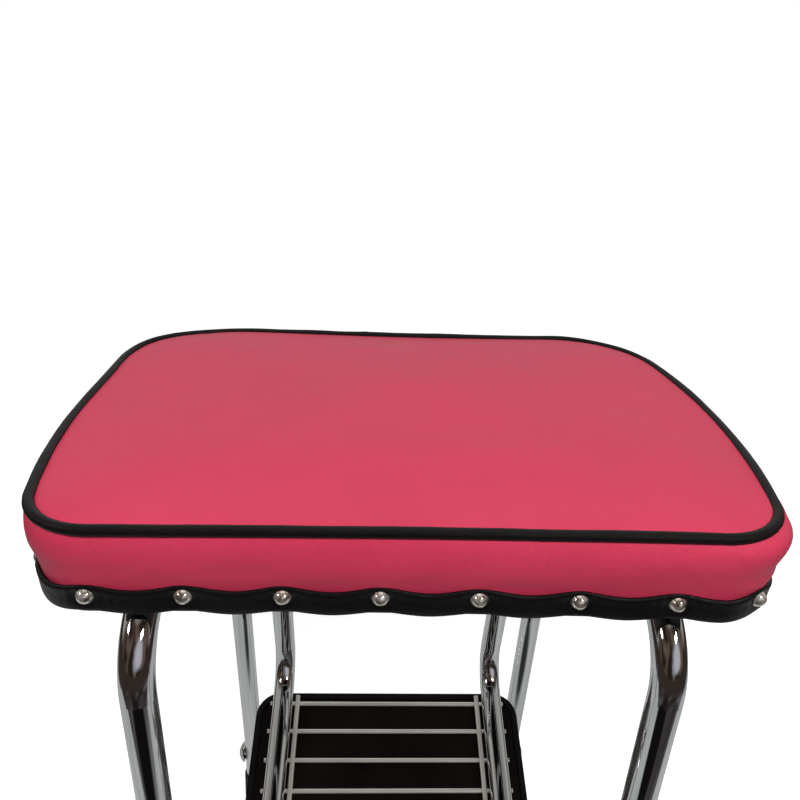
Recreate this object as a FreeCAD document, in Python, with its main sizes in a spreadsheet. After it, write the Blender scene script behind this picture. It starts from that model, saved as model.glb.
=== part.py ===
import FreeCAD, Part
import os
import math

# Step stool with an upholstered seat and one flip-out step.
# Millimetres, +Z up, X across, +Y to the back.  The origin is on the floor under
# the middle of the stool's own box.  The step is drawn stored under the seat.

os.makedirs("parts", exist_ok=True)
doc = FreeCAD.newDocument("StepStool")
V = FreeCAD.Vector
ROT = FreeCAD.Rotation
PLC = FreeCAD.Placement

# ---------------------------------------------------------------- sizes
sheet = doc.addObject("Spreadsheet::Sheet", "Sizes")
SIZES = [
    ("seat_centre_y", 11.0), ("piping_height", 600.0),
    ("seat_half_width", 196.2), ("seat_half_depth", 153.7),
    ("side_bow", 23.7), ("front_bow", 2.4), ("rear_bow", 5.0),
    ("front_corner", 42.8), ("rear_corner", 75.0), ("rear_left_corner", 62.0),
    ("base_front_corner", 37.0), ("base_wider", 2.5), ("base_shift_x", 2.05),
    ("base_shift_y", 0.95), ("base_turn", -0.47),
    ("piping_dia", 6.4), ("boxing_offset", 3.4), ("crown_rise", 9.0),
    ("crown_inset", 6.0), ("crown_round", 8.0), ("boxing_round", 4.0),
    ("board_thick", 15.0), ("board_inset", 1.5), ("board_bottom", 550.0),
    ("band_offset", 0.5), ("band_low", 1.8),
    ("nail_head_dia", 9.8), ("nail_head_rise", 4.2), ("nail_shank_dia", 1.8),
    ("nail_shank_len", 13.0), ("nail_pitch", 52.0), ("nail_start_x", -16.4),
    ("leg_od", 20.0), ("leg_wall", 1.2), ("leg_front_x", 148.0),
    ("leg_rear_x", 151.0), ("leg_foot_x", 153.5),
    ("leg_front_top_y", -159.5), ("leg_front_foot_y", -166.0),
    ("leg_rear_top_y", 106.0), ("leg_rear_kink_y", 136.8),
    ("leg_rear_kink_z", 108.0), ("leg_rear_foot_y", 144.2),
    ("rail_height", 540.0), ("knee_radius", 45.0), ("kink_radius", 300.0),
    ("leg_end_z", 6.0), ("hole_clear", 0.05),
    ("foot_od", 26.0), ("foot_top_od", 24.0), ("foot_tall", 34.0),
    ("crossbar_od", 16.0), ("crossbar_front_y", -30.0), ("crossbar_rear_y", 52.0),
    ("seat_bolt_dia", 6.0), ("seat_bolt_head", 12.0),
    ("seat_bolt_front_y", -88.0), ("seat_bolt_rear_y", 30.0),
    ("tee_flange_dia", 19.0), ("tee_barrel_dia", 8.0),
    ("stretcher_z", 79.0), ("stretcher_od", 16.0), ("stretcher_wall", 1.2),
    ("stretcher_bolt_dia", 8.0), ("stretcher_cap_dia", 23.0), ("stretcher_cap_rise", 5.5),
    ("pivot_z", 184.7), ("pivot_rod_dia", 10.0), ("pivot_bush_bore", 10.1),
    ("pivot_bush_od", 13.0), ("pivot_flange_od", 18.0),
    ("spacer_od", 16.0), ("spacer_bore", 10.1), ("sleeve_od", 14.0),
    ("step_x", 101.0), ("step_od", 19.0), ("step_wall", 1.2), ("step_slope", 20.0),
    ("step_leg_slope", 100.0), ("step_bend_radius", 38.0), ("step_run", 262.6),
    ("step_leg_len", 175.1), ("step_stub", 14.0), ("step_tip_radius", 12.0),
    ("step_bar_od", 12.0), ("step_bar_at", 118.0),
    ("rod_dia", 4.0), ("rod_half", 114.0), ("rod_first", 227.2), ("rod_pitch", 25.9),
    ("rod_count", 7.0), ("long_rod_dia", 4.6), ("long_rod_x", 87.5),
    ("tread_half_width", 126.5), ("tread_far", 237.5), ("tread_near", 61.5),
    ("tread_corner", 22.0), ("tread_board_thick", 12.0), ("tread_edge_thick", 2.5),
    ("tread_lip", 2.0), ("tread_lip_in", 5.0), ("mat_thick", 4.5), ("mat_groove", 2.0),
    ("mat_groove_depth", 1.6), ("mat_pitch", 8.0),
    ("stop_at", 45.0), ("stop_sleeve_od", 14.0), ("stop_pin_dia", 8.0),
    ("stop_gap", 0.3), ("stop_plate", 3.4), ("plate_round", 14.0),
]
for i, (name, value) in enumerate(SIZES):
    row = i + 1
    sheet.set("A%d" % row, name)
    sheet.set("B%d" % row, "%g" % value)
    sheet.setAlias("B%d" % row, name)
doc.recompute()


def S(name):
    return float(sheet.get(name))


YC = S("seat_centre_y")          # seat centre in the stool's own frame
ZP = S("piping_height")
made = []                        # objects that are written out


def keep(obj, label):
    obj.Label = label
    made.append(obj)
    return obj


# ---------------------------------------------------------------- helpers
def new_body(name):
    return doc.addObject("PartDesign::Body", name)


def plane_of(body, role):
    for feat in body.Origin.OriginFeatures:
        if feat.Role == role:
            return feat
    raise ValueError(role)


def new_sketch(body, role, name, up=0.0):
    sk = body.newObject("Sketcher::SketchObject", name)
    sk.AttachmentSupport = (plane_of(body, role), "")
    sk.MapMode = "FlatFace"
    if up:
        sk.AttachmentOffset = PLC(V(0, 0, up), ROT())
    return sk


def add_loop(sk, pts):
    for a, b in zip(pts, pts[1:] + pts[:1]):
        sk.addGeometry(Part.LineSegment(V(a[0], a[1], 0), V(b[0], b[1], 0)), False)


def add_wire(sk, wire, dz=0.0):
    for e in wire.Edges:
        c = e.Curve
        if c.TypeId == "Part::GeomCircle":
            axis = c.Axis
            arc = Part.ArcOfCircle(c, e.FirstParameter, e.LastParameter)
            mid = e.valueAt((e.FirstParameter + e.LastParameter) / 2.0)
            p0, p1 = e.valueAt(e.FirstParameter), e.valueAt(e.LastParameter)
            flat = [V(p.x, p.y, 0) for p in (p0, mid, p1)]
            sk.addGeometry(Part.Arc(*flat), False)
        else:
            p0, p1 = e.Vertexes[0].Point, e.Vertexes[-1].Point
            sk.addGeometry(Part.LineSegment(V(p0.x, p0.y, 0), V(p1.x, p1.y, 0)), False)


def add_circle(sk, x, y, expr):
    n = sk.addGeometry(Part.Circle(V(x, y, 0), V(0, 0, 1), 1.0), False)
    c = sk.addConstraint(_sk_con("Radius", n, 5.0))
    sk.setExpression("Constraints[%d]" % c, expr)
    if abs(x) < 1e-9 and abs(y) < 1e-9:
        sk.addConstraint(_sk_con("Coincident", n, 3, -1, 1))
    else:
        sk.addConstraint(_sk_con("DistanceX", -1, 1, n, 3, x))
        sk.addConstraint(_sk_con("DistanceY", -1, 1, n, 3, y))
    return n


def _sk_con(*args):
    import Sketcher
    return Sketcher.Constraint(*args)


def pad(body, sk, expr, name, back=False, mid=False):
    p = body.newObject("PartDesign::Pad", name)
    p.Profile = sk
    p.Reversed = back
    p.Midplane = mid
    if isinstance(expr, str):
        p.setExpression("Length", expr)
    else:
        p.Length = expr
    doc.recompute()
    return p


def revolve(body, sk, name, kind="PartDesign::Revolution"):
    r = body.newObject(kind, name)
    r.Profile = sk
    r.ReferenceAxis = (sk, ["V_Axis"])
    r.Angle = 360.0
    doc.recompute()
    return r


def turned(name, pts):
    """A turned piece: half profile of (radius, height) points about Z."""
    b = new_body(name)
    sk = new_sketch(b, "XZ_Plane", name + "_profile")
    add_loop(sk, pts)
    revolve(b, sk, name + "_turn")
    return b


def to_axis(point, direction):
    return PLC(point, ROT(V(0, 0, 1), direction))


def bend_path(pts, radii):
    """Straight runs joined by tangent arcs."""
    edges = []
    prev = pts[0]
    for i in range(1, len(pts) - 1):
        p = pts[i]
        a = (pts[i - 1] - p).normalize()
        b = (pts[i + 1] - p).normalize()
        ang = a.getAngle(b)
        r = radii[i - 1]
        t = r / math.tan(ang / 2.0)
        s = p + a * t
        e = p + b * t
        m = p + (a + b).normalize() * (r / math.sin(ang / 2.0) - r)
        edges.append(Part.LineSegment(prev, s).toShape())
        edges.append(Part.Arc(s, m, e).toShape())
        prev = e
    edges.append(Part.LineSegment(prev, pts[-1]).toShape())
    return Part.Wire(edges)


def swept(name, spine, count, start, direction, expr):
    ring = doc.addObject("Part::Circle", name + "_ring")
    ring.setExpression("Radius", expr)
    ring.Placement = to_axis(start, direction)
    sw = doc.addObject("Part::Sweep", name)
    sw.Sections = [ring]
    sw.Spine = (spine, ["Edge%d" % (i + 1) for i in range(count)])
    sw.Solid = True
    sw.Frenet = False
    return sw


def bent_tube(name, pts, radii, od_expr, wall_expr, holes=()):
    """Hollow tube along bend_path, with cross holes cut through it."""
    wire = bend_path(pts, radii)
    spine = doc.addObject("Part::Feature", name + "_line")
    spine.Shape = wire
    d = (pts[1] - pts[0]).normalize()
    n = len(wire.Edges)
    outer = swept(name + "_outside", spine, n, pts[0], d, od_expr)
    inner = swept(name + "_inside", spine, n, pts[0], d, "%s - %s" % (od_expr, wall_expr))
    cut = doc.addObject("Part::Cut", name + "_hollow")
    cut.Base = outer
    cut.Tool = inner
    last = cut
    for k, (point, direction, expr, length) in enumerate(holes):
        h = doc.addObject("Part::Cylinder", "%s_hole%d" % (name, k))
        h.setExpression("Radius", expr)
        h.Height = length
        h.Placement = to_axis(point, direction).multiply(PLC(V(0, 0, 0), ROT(V(0, 0, 1), 37.0)))
        c2 = doc.addObject("Part::Cut", "%s_drilled%d" % (name, k))
        c2.Base = last
        c2.Tool = h
        last = c2
    return last, outer


def boolean(kind, name, base, tool):
    c = doc.addObject(kind, name)
    c.Base = base
    c.Tool = tool
    return c


def group(name, shapes):
    f = doc.addObject("Part::Feature", name)
    f.Shape = Part.makeCompound(shapes)
    return f


def moved(shape, placement):
    s = shape.copy()
    s.Placement = placement.multiply(s.Placement)
    return s


# ---------------------------------------------------------------- seat outline
# Eight tangent arcs: two convex sides, a faintly hollow front and back, and
# four corners.  Each entry is (centre x, centre y, radius, start, end, hollow).
# The board and band under it are a little wider, sit 2 mm to the right and are
# turned by half a degree, as an upholstered seat often comes out.
def seat_arcs(front_corner, wider=0.0, shift=(0.0, 0.0), turn=0.0):
    hw, hd = S("seat_half_width") + wider, S("seat_half_depth")
    bow = S("side_bow")
    r_side = (hd * hd + bow * bow) / (2.0 * bow)
    cx = hw + bow - r_side

    def corner(bw, sg, r_c):
        r_end = (hw * hw + bw * bw) / (2.0 * bw)
        cy = sg * (hd - bw + r_end)
        # corner centre: inside the side arc, outside the hollow end arc
        d1, d2 = r_side - r_c, r_end + r_c
        dx, dy = -cx, cy
        dist = math.hypot(dx, dy)
        along = (d1 * d1 - d2 * d2 + dist * dist) / (2.0 * dist)
        off = math.sqrt(d1 * d1 - along * along)
        ux, uy = dx / dist, dy / dist
        px, py = max((cx + along * ux - off * uy * k, along * uy + off * ux * k) for k in (1.0, -1.0))
        return cy, r_end, r_c, px, py, math.atan2(py, px - cx), math.atan2(py - cy, px)

    fc = corner(abs(S("front_bow")), -1.0, front_corner)
    rr = corner(abs(S("rear_bow")), 1.0, S("rear_corner"))
    rl = corner(abs(S("rear_bow")), 1.0, S("rear_left_corner"))
    pi = math.pi
    out = [(cx, 0.0, r_side, fc[5], rr[5], False),                       # right side
           (rr[3], rr[4], rr[2], rr[5], rr[6] + pi, False),              # rear right corner
           (0.0, rr[0], rr[1], rr[6], -pi - rl[6], True),                # back
           (-rl[3], rl[4], rl[2], -rl[6], pi - rl[5], False),            # rear left corner
           (-cx, 0.0, r_side, pi - rl[5], pi - fc[5], False),            # left side
           (-fc[3], fc[4], fc[2], pi - fc[5], 2 * pi - fc[6], False),    # front left corner
           (0.0, fc[0], fc[1], pi - fc[6], fc[6], True),                 # front
           (fc[3], fc[4], fc[2], fc[6] - pi, fc[5], False)]              # front right corner
    ct, st = math.cos(turn), math.sin(turn)
    return [(ct * x - st * y + shift[0], st * x + ct * y + shift[1], r, a0 + turn, a1 + turn, hollow)
            for (x, y, r, a0, a1, hollow) in out]


ARCS = seat_arcs(S("front_corner"))             # piping and cushion
BASE_ARCS = seat_arcs(S("base_front_corner"), S("base_wider"),   # board and band, squarer at the front
                      (S("base_shift_x"), S("base_shift_y")), math.radians(S("base_turn")))


def outline_curves(offset, arcs=ARCS):
    curves = []
    for (x, y, r, a0, a1, hollow) in arcs:
        c = Part.Circle(V(x, y, 0), V(0, 0, 1), r - offset if hollow else r + offset)
        lo, hi = (a1, a0) if hollow else (a0, a1)
        curves.append(Part.ArcOfCircle(c, lo, hi))
    return curves


def outline(offset):
    return Part.Wire(Part.__sortEdges__([c.toShape() for c in outline_curves(offset)]))


def add_outline(sk, offset, arcs=ARCS):
    for c in outline_curves(offset, arcs):
        sk.addGeometry(c, False)


def outline_points(offset, arcs, step=0.5):
    """Points round the outline, anticlockwise, with their run and outward normal."""
    pts = []
    run = 0.0
    for (x, y, r, a0, a1, hollow) in arcs:
        rad_ = r - offset if hollow else r + offset
        n = max(2, int(rad_ * abs(a1 - a0) / step))
        for k in range(n):
            a = a0 + (a1 - a0) * k / n
            ux, uy = math.cos(a), math.sin(a)
            sg = -1.0 if hollow else 1.0
            pts.append((x + rad_ * ux, y + rad_ * uy, run + rad_ * abs(a1 - a0) * k / n, sg * ux, sg * uy))
        run += rad_ * abs(a1 - a0)
    return pts, run


OUTLINE = outline(0.0)


# ---------------------------------------------------------------- seat bolts (places)
def rail_x(y):
    y0, y1 = S("leg_front_top_y"), S("leg_rear_top_y")
    return S("leg_front_x") + (S("leg_rear_x") - S("leg_front_x")) * (y - y0) / (y1 - y0)


BOLT_PLACES = []
for sy in ("seat_bolt_front_y", "seat_bolt_rear_y"):
    for side in (-1, 1):
        BOLT_PLACES.append((side * rail_x(S(sy)), S(sy) + YC))

# ---------------------------------------------------------------- seat board
seat_board = new_body("seat_board_body")
sk = new_sketch(seat_board, "XY_Plane", "seat_board_outline")
add_outline(sk, -S("board_inset"), BASE_ARCS)
pad(seat_board, sk, "Sizes.board_thick", "seat_board_pad")
vol0 = seat_board.Shape.Volume
hole_sk = new_sketch(seat_board, "XY_Plane", "seat_board_holes")
for (bx, by) in BOLT_PLACES:
    add_circle(hole_sk, bx, by - YC, "Sizes.tee_barrel_dia / 2")
pk = seat_board.newObject("PartDesign::Pocket", "seat_board_bores")
pk.Profile = hole_sk
pk.Type = 1
pk.Reversed = True
doc.recompute()
if seat_board.Shape.Volume >= vol0 - 100:
    pk.Reversed = False
    doc.recompute()
vol1 = seat_board.Shape.Volume
cs_sk = new_sketch(seat_board, "XY_Plane", "seat_board_sinks", S("board_thick"))
for (bx, by) in BOLT_PLACES:
    add_circle(cs_sk, bx, by - YC, "Sizes.tee_flange_dia / 2")
pk2 = seat_board.newObject("PartDesign::Pocket", "seat_board_recess")
pk2.Profile = cs_sk
pk2.Length = 1.5
doc.recompute()
if seat_board.Shape.Volume >= vol1 - 100:
    pk2.Reversed = True
    doc.recompute()
seat_board.Placement = PLC(V(0, YC, S("board_bottom")), ROT())
keep(seat_board, "seat_board")

# ---------------------------------------------------------------- cushion
BOARD_TOP = S("board_bottom") + S("board_thick")
cushion = new_body("seat_cushion_body")
sk = new_sketch(cushion, "XY_Plane", "boxing_outline")
add_outline(sk, S("boxing_offset"))
boxing = pad(cushion, sk, "Sizes.piping_height - Sizes.board_bottom - Sizes.board_thick", "boxing_pad")


def rim_edges(shape, z):
    out = []
    for i, e in enumerate(shape.Edges):
        bb = e.BoundBox
        if abs(bb.ZMin - z) < 1e-4 and abs(bb.ZMax - z) < 1e-4:
            out.append("Edge%d" % (i + 1))
    return out


fl = cushion.newObject("PartDesign::Fillet", "boxing_round")
fl.Base = (boxing, rim_edges(boxing.Shape, 0.0))
fl.setExpression("Radius", "Sizes.boxing_round")
doc.recompute()
sk = new_sketch(cushion, "XY_Plane", "crown_outline", ZP - BOARD_TOP)
add_outline(sk, -S("crown_inset"))
crown = pad(cushion, sk, "Sizes.crown_rise", "crown_pad")
fl = cushion.newObject("PartDesign::Fillet", "crown_edge")
fl.Base = (crown, rim_edges(crown.Shape, ZP - BOARD_TOP + S("crown_rise")))
fl.setExpression("Radius", "Sizes.crown_round")
doc.recompute()
cushion.Placement = PLC(V(0, YC, BOARD_TOP), ROT())
keep(cushion, "seat_cushion")

# ---------------------------------------------------------------- piping
pline = doc.addObject("Part::Feature", "piping_line")
pline.Shape = OUTLINE.copy()
pline.Placement = PLC(V(0, YC, ZP), ROT())
e0 = pline.Shape.Edges[0]
p_start = e0.valueAt(e0.FirstParameter)
t_start = e0.tangentAt(e0.FirstParameter)
piping = swept("piping_sweep", pline, len(OUTLINE.Edges), p_start, t_start, "Sizes.piping_dia / 2")
doc.recompute()
keep(piping, "seat_piping")

# ---------------------------------------------------------------- trim band
band = new_body("trim_band_body")
sk = new_sketch(band, "XY_Plane", "band_outline")
add_outline(sk, S("band_offset"), BASE_ARCS)
add_outline(sk, -S("board_inset"), BASE_ARCS)
pad(band, sk, "Sizes.board_thick + Sizes.band_low", "band_pad")
band.Placement = PLC(V(0, YC, S("board_bottom") - S("band_low")), ROT())
keep(band, "trim_band")

# ---------------------------------------------------------------- trim nails
hr, hh = S("nail_head_dia") / 2.0, S("nail_head_rise")
sr, sl = S("nail_shank_dia") / 2.0, S("nail_shank_len")
dome_r = (hr * hr + hh * hh) / (2.0 * hh)
nail = new_body("nail_body")
sk = new_sketch(nail, "XZ_Plane", "nail_profile")
mid_a = 0.5 * math.asin(hr / dome_r)
top = V(0, hh, 0)
rim = V(hr, 0, 0)
mid = V(dome_r * math.sin(mid_a), hh - dome_r + dome_r * math.cos(mid_a), 0)
sk.addGeometry(Part.Arc(rim, mid, top), False)
for a, b in ((top, V(0, -sl, 0)), (V(0, -sl, 0), V(sr, -sl + 3, 0)),
             (V(sr, -sl + 3, 0), V(sr, 0, 0)), (V(sr, 0, 0), rim)):
    sk.addGeometry(Part.LineSegment(a, b), False)
revolve(nail, sk, "nail_turn")
pts, total = outline_points(S("band_offset"), BASE_ARCS)
start = min((i for i in range(len(pts)) if pts[i][1] < -100), key=lambda i: abs(pts[i][0] - S("nail_start_x")))
# hand-placed along the front, and spread evenly round the sides and back
places = [-155.3, -104.0, -52.3, 0.0, 53.5, 107.8, 161.3, 209.8]
left_over = total - (places[-1] - places[0])
rest = int(round(left_over / S("nail_pitch")))
places += [places[-1] + left_over * (k + 1) / rest for k in range(rest - 1)]
count = len(places)
shapes = []
for at in places:
    want = (pts[start][2] + at) % total
    px, py, run_, nx, ny = min(pts, key=lambda q: abs(q[2] - want))
    shapes.append(moved(nail.Shape, to_axis(
        V(px, py + YC, S("board_bottom") + 0.49 * S("board_thick")), V(nx, ny, 0))))
keep(group("nails", shapes), "trim_nails")
print("nails", count, "pitch", round(total / count, 2))

# ---------------------------------------------------------------- pivot place
# The step turns about a cross rod through both front legs.
top_z, end_z = S("rail_height"), S("leg_end_z")
f = (top_z - S("pivot_z")) / (top_z - end_z)
PIV_Y = S("leg_front_top_y") + f * (S("leg_front_foot_y") - S("leg_front_top_y")) + YC
PIV = V(0, PIV_Y, S("pivot_z"))
X_AXIS = V(1, 0, 0)
STEP_PL = PLC(PIV, ROT(X_AXIS, S("step_slope")))   # local Y along the tread, local Z off it


def stored(x, s, n):
    return STEP_PL.multVec(V(x, s, n))


# ---------------------------------------------------------------- side frames
kz = S("leg_rear_kink_z")
g = (kz - S("stretcher_z")) / (kz - end_z)
STR_X = S("leg_rear_x") + g * (S("leg_foot_x") - S("leg_rear_x"))
STR_Y = S("leg_rear_kink_y") + g * (S("leg_rear_foot_y") - S("leg_rear_kink_y")) + YC
frames = {}
for side, word in ((-1, "left"), (1, "right")):
    pts3 = [V(side * S("leg_front_x"), S("leg_front_foot_y") + YC, end_z),
            V(side * S("leg_front_x"), S("leg_front_top_y") + YC, top_z),
            V(side * S("leg_rear_x"), S("leg_rear_top_y") + YC, top_z),
            V(side * S("leg_rear_x"), S("leg_rear_kink_y") + YC, kz),
            V(side * S("leg_foot_x"), S("leg_rear_foot_y") + YC, end_z)]
    holes = [(V(side * S("leg_front_x") - 20, PIV_Y, S("pivot_z")), X_AXIS,
              "Sizes.pivot_rod_dia / 2 + Sizes.hole_clear", 40.0),
             (V(side * STR_X - 20, STR_Y, S("stretcher_z")), X_AXIS,
              "Sizes.stretcher_bolt_dia / 2 + Sizes.hole_clear", 40.0)]
    for (bx, by) in BOLT_PLACES:
        if bx * side > 0:
            holes.append((V(bx, by, top_z - 20), V(0, 0, 1),
                          "Sizes.seat_bolt_dia / 2 + Sizes.hole_clear", 40.0))
    tube, outer = bent_tube("side_frame_" + word, pts3,
                            [S("knee_radius"), S("knee_radius"), S("kink_radius")],
                            "Sizes.leg_od / 2", "Sizes.leg_wall", holes)
    doc.recompute()
    frames[side] = (tube, outer, pts3)
    keep(tube, "side_frame_" + word)

# ---------------------------------------------------------------- leg feet
for side, word in ((-1, "left"), (1, "right")):
    pts3 = frames[side][2]
    for end, nxt, where in ((pts3[0], pts3[1], "front"), (pts3[4], pts3[3], "rear")):
        d = (nxt - end).normalize()
        nm = "foot_%s_%s" % (where, word)
        cone = doc.addObject("Part::Cone", nm + "_boot")
        cone.setExpression("Radius1", "Sizes.foot_od / 2")
        cone.setExpression("Radius2", "Sizes.foot_top_od / 2")
        cone.setExpression("Height", "Sizes.foot_tall + 8")
        cone.Placement = to_axis(end - d * (end_z + 2.0), d)
        low = doc.addObject("Part::Box", nm + "_below")
        low.Length, low.Width, low.Height = 80, 80, 20
        low.Placement = PLC(V(end.x - 40, end.y - 40, -20), ROT())
        trim = boolean("Part::Cut", nm + "_flat", cone, low)
        bore = doc.addObject("Part::Cylinder", nm + "_bore")
        bore.setExpression("Radius", "Sizes.leg_od / 2")
        bore.Height = 80
        bore.Placement = to_axis(end, d)
        boot = boolean("Part::Cut", nm + "_shape", trim, bore)
        doc.recompute()
        keep(boot, nm)

# ---------------------------------------------------------------- under-seat crossbars
for sy, word in (("crossbar_front_y", "front"), ("crossbar_rear_y", "rear")):
    y = S(sy) + YC
    half = rail_x(S(sy))
    bar = doc.addObject("Part::Cylinder", "crossbar_%s_bar" % word)
    bar.setExpression("Radius", "Sizes.crossbar_od / 2")
    bar.Height = 2 * half
    bar.Placement = to_axis(V(-half, y, top_z), X_AXIS)
    bore = doc.addObject("Part::Cylinder", "crossbar_%s_bore" % word)
    bore.setExpression("Radius", "Sizes.crossbar_od / 2 - 1.2")
    bore.Height = 2 * half
    bore.Placement = bar.Placement
    hollow = boolean("Part::Cut", "crossbar_%s_hollow" % word, bar, bore)
    c1 = boolean("Part::Cut", "crossbar_%s_l" % word, hollow, frames[-1][1])
    c2 = boolean("Part::Cut", "crossbar_%s_r" % word, c1, frames[1][1])
    doc.recompute()
    keep(c2, "underseat_bar_" + word)

# ---------------------------------------------------------------- seat bolts and tee nuts
bolt = turned("seat_bolt", [(0, 0), (S("seat_bolt_head") / 2 - 1.5, 0), (S("seat_bolt_head") / 2, 1.5),
                            (S("seat_bolt_head") / 2, 4.0), (S("seat_bolt_dia") / 2, 4.0),
                            (S("seat_bolt_dia") / 2, 37.5), (0, 37.5)])
tee_bore = S("seat_bolt_dia") / 2 + S("hole_clear")
tee = turned("tee_nut", [(tee_bore, 0), (S("tee_barrel_dia") / 2, 0),
                         (S("tee_barrel_dia") / 2, 8.5), (S("tee_flange_dia") / 2, 8.5),
                         (S("tee_flange_dia") / 2, 10.0), (tee_bore, 10.0)])
keep(group("seat_bolt_set", [moved(bolt.Shape, PLC(V(bx, by, top_z - S("leg_od") / 2 - 4.0), ROT()))
                             for (bx, by) in BOLT_PLACES]), "seat_bolts")
keep(group("tee_nut_set", [moved(tee.Shape, PLC(V(bx, by, BOARD_TOP - 10.0), ROT()))
                           for (bx, by) in BOLT_PLACES]), "seat_tee_nuts")

# ---------------------------------------------------------------- rear stretcher
st_half = STR_X
bar = doc.addObject("Part::Cylinder", "stretcher_bar")
bar.setExpression("Radius", "Sizes.stretcher_od / 2")
bar.Height = 2 * st_half
bar.Placement = to_axis(V(-st_half, STR_Y, S("stretcher_z")), X_AXIS)
bore = doc.addObject("Part::Cylinder", "stretcher_bore")
bore.setExpression("Radius", "Sizes.stretcher_od / 2 - Sizes.stretcher_wall")
bore.Height = 2 * st_half
bore.Placement = bar.Placement
hollow = boolean("Part::Cut", "stretcher_hollow", bar, bore)
c1 = boolean("Part::Cut", "stretcher_l", hollow, frames[-1][1])
c2 = boolean("Part::Cut", "stretcher_r", c1, frames[1][1])
doc.recompute()
keep(c2, "rear_stretcher")

plug_r = S("stretcher_od") / 2 - S("stretcher_wall")
plug = turned("stretcher_plug", [(S("stretcher_bolt_dia") / 2, 0), (plug_r - 1, 0), (plug_r, 1),
                                 (plug_r, 24), (S("stretcher_bolt_dia") / 2, 24)])
cap_r, cap_h = S("stretcher_cap_dia") / 2, S("stretcher_cap_rise")
cap = new_body("stretcher_cap_body")
sk = new_sketch(cap, "XZ_Plane", "stretcher_cap_profile")
big = (cap_r * cap_r + cap_h * cap_h) / (2 * cap_h)
ma = 0.5 * math.asin(cap_r / big)
sk.addGeometry(Part.Arc(V(cap_r, 1.0, 0), V(big * math.sin(ma), 1.0 + cap_h - big + big * math.cos(ma), 0),
                        V(0, 1.0 + cap_h, 0)), False)
br_ = S("stretcher_bolt_dia") / 2
for a, b in ((V(0, 1.0 + cap_h, 0), V(0, -42, 0)), (V(0, -42, 0), V(br_ - 1, -42, 0)),
             (V(br_ - 1, -42, 0), V(br_, -41, 0)), (V(br_, -41, 0), V(br_, 0, 0)),
             (V(br_, 0, 0), V(cap_r, 0, 0)), (V(cap_r, 0, 0), V(cap_r, 1.0, 0))):
    sk.addGeometry(Part.LineSegment(a, b), False)
revolve(cap, sk, "stretcher_cap_turn")
plugs, caps = [], []
leg_out = STR_X + S("leg_od") / 2
inner_end = STR_X - S("leg_od") / 2 - 0.4
for side in (-1, 1):
    plugs.append(moved(plug.Shape, to_axis(V(side * (inner_end - 1.0), STR_Y, S("stretcher_z")),
                                           V(-side, 0, 0))))
    caps.append(moved(cap.Shape, to_axis(V(side * (leg_out + 0.2), STR_Y, S("stretcher_z")), V(side, 0, 0))))
keep(group("stretcher_plug_set", plugs), "stretcher_plugs")
keep(group("stretcher_cap_set", caps), "stretcher_bolts")

# ---------------------------------------------------------------- pivot rod and what sits on it
LEG_IN = S("leg_front_x") - S("leg_od") / 2
LEG_OUT = S("leg_front_x") + S("leg_od") / 2
PLATE_OUT = LEG_IN + 0.6
PLATE_IN = PLATE_OUT - S("stop_plate")
rod = new_body("pivot_rod_body")
sk = new_sketch(rod, "YZ_Plane", "pivot_rod_section")
add_circle(sk, 0, 0, "Sizes.pivot_rod_dia / 2")
pad(rod, sk, "2 * (Sizes.leg_front_x + Sizes.leg_od / 2 + 9)", "pivot_rod_pad", mid=True)
rod.Placement = PLC(PIV, ROT())
keep(rod, "pivot_rod")

FLANGE = 1.5
BUSH_IN = S("step_x") - S("step_od") / 2 - 1.0
BUSH_OUT = S("step_x") + S("step_od") / 2
SPACER_IN = BUSH_OUT + FLANGE + 0.3
sleeve = new_body("pivot_sleeve_body")
sk = new_sketch(sleeve, "YZ_Plane", "pivot_sleeve_section")
add_circle(sk, 0, 0, "Sizes.sleeve_od / 2")
add_circle(sk, 0, 0, "Sizes.spacer_bore / 2")
pad(sleeve, sk, 2 * (BUSH_IN - 0.3), "pivot_sleeve_pad", mid=True)
sleeve.Placement = PLC(PIV, ROT())
keep(sleeve, "pivot_sleeve")

for side, word in ((-1, "left"), (1, "right")):
    sp = new_body("pivot_spacer_%s_body" % word)
    sk = new_sketch(sp, "YZ_Plane", "pivot_spacer_%s_section" % word)
    add_circle(sk, 0, 0, "Sizes.spacer_od / 2")
    add_circle(sk, 0, 0, "Sizes.spacer_bore / 2")
    pad(sp, sk, PLATE_IN - SPACER_IN, "pivot_spacer_%s_pad" % word, mid=True)
    sp.Placement = PLC(PIV + V(side * (PLATE_IN + SPACER_IN) / 2, 0, 0), ROT())
    keep(sp, "pivot_spacer_" + word)

# domed nuts on the rod's ends
nuts = []
hexr = 17.0 / 2 / math.cos(math.pi / 6)
nut = new_body("pivot_nut_body")
sk = new_sketch(nut, "XY_Plane", "pivot_nut_hex")
add_loop(sk, [(hexr * math.cos(math.radians(60 * k + 30)), hexr * math.sin(math.radians(60 * k + 30)))
              for k in range(6)])
pad(nut, sk, 8.0, "pivot_nut_pad")
sk = new_sketch(nut, "XZ_Plane", "pivot_nut_dome")
sk.addGeometry(Part.Arc(V(7.4, 8.0, 0), V(7.4 * math.sin(math.pi / 4), 8.0 + 7.4 * math.cos(math.pi / 4), 0),
                        V(0, 15.4, 0)), False)
sk.addGeometry(Part.LineSegment(V(0, 15.4, 0), V(0, 6.0, 0)), False)
sk.addGeometry(Part.LineSegment(V(0, 6.0, 0), V(7.4, 6.0, 0)), False)
sk.addGeometry(Part.LineSegment(V(7.4, 6.0, 0), V(7.4, 8.0, 0)), False)
revolve(nut, sk, "pivot_nut_crown")
sk = new_sketch(nut, "XZ_Plane", "pivot_nut_bore")
add_loop(sk, [(0, -1), (S("pivot_rod_dia") / 2, -1), (S("pivot_rod_dia") / 2, 10.2), (0, 10.2)])
revolve(nut, sk, "pivot_nut_thread", "PartDesign::Groove")
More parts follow.
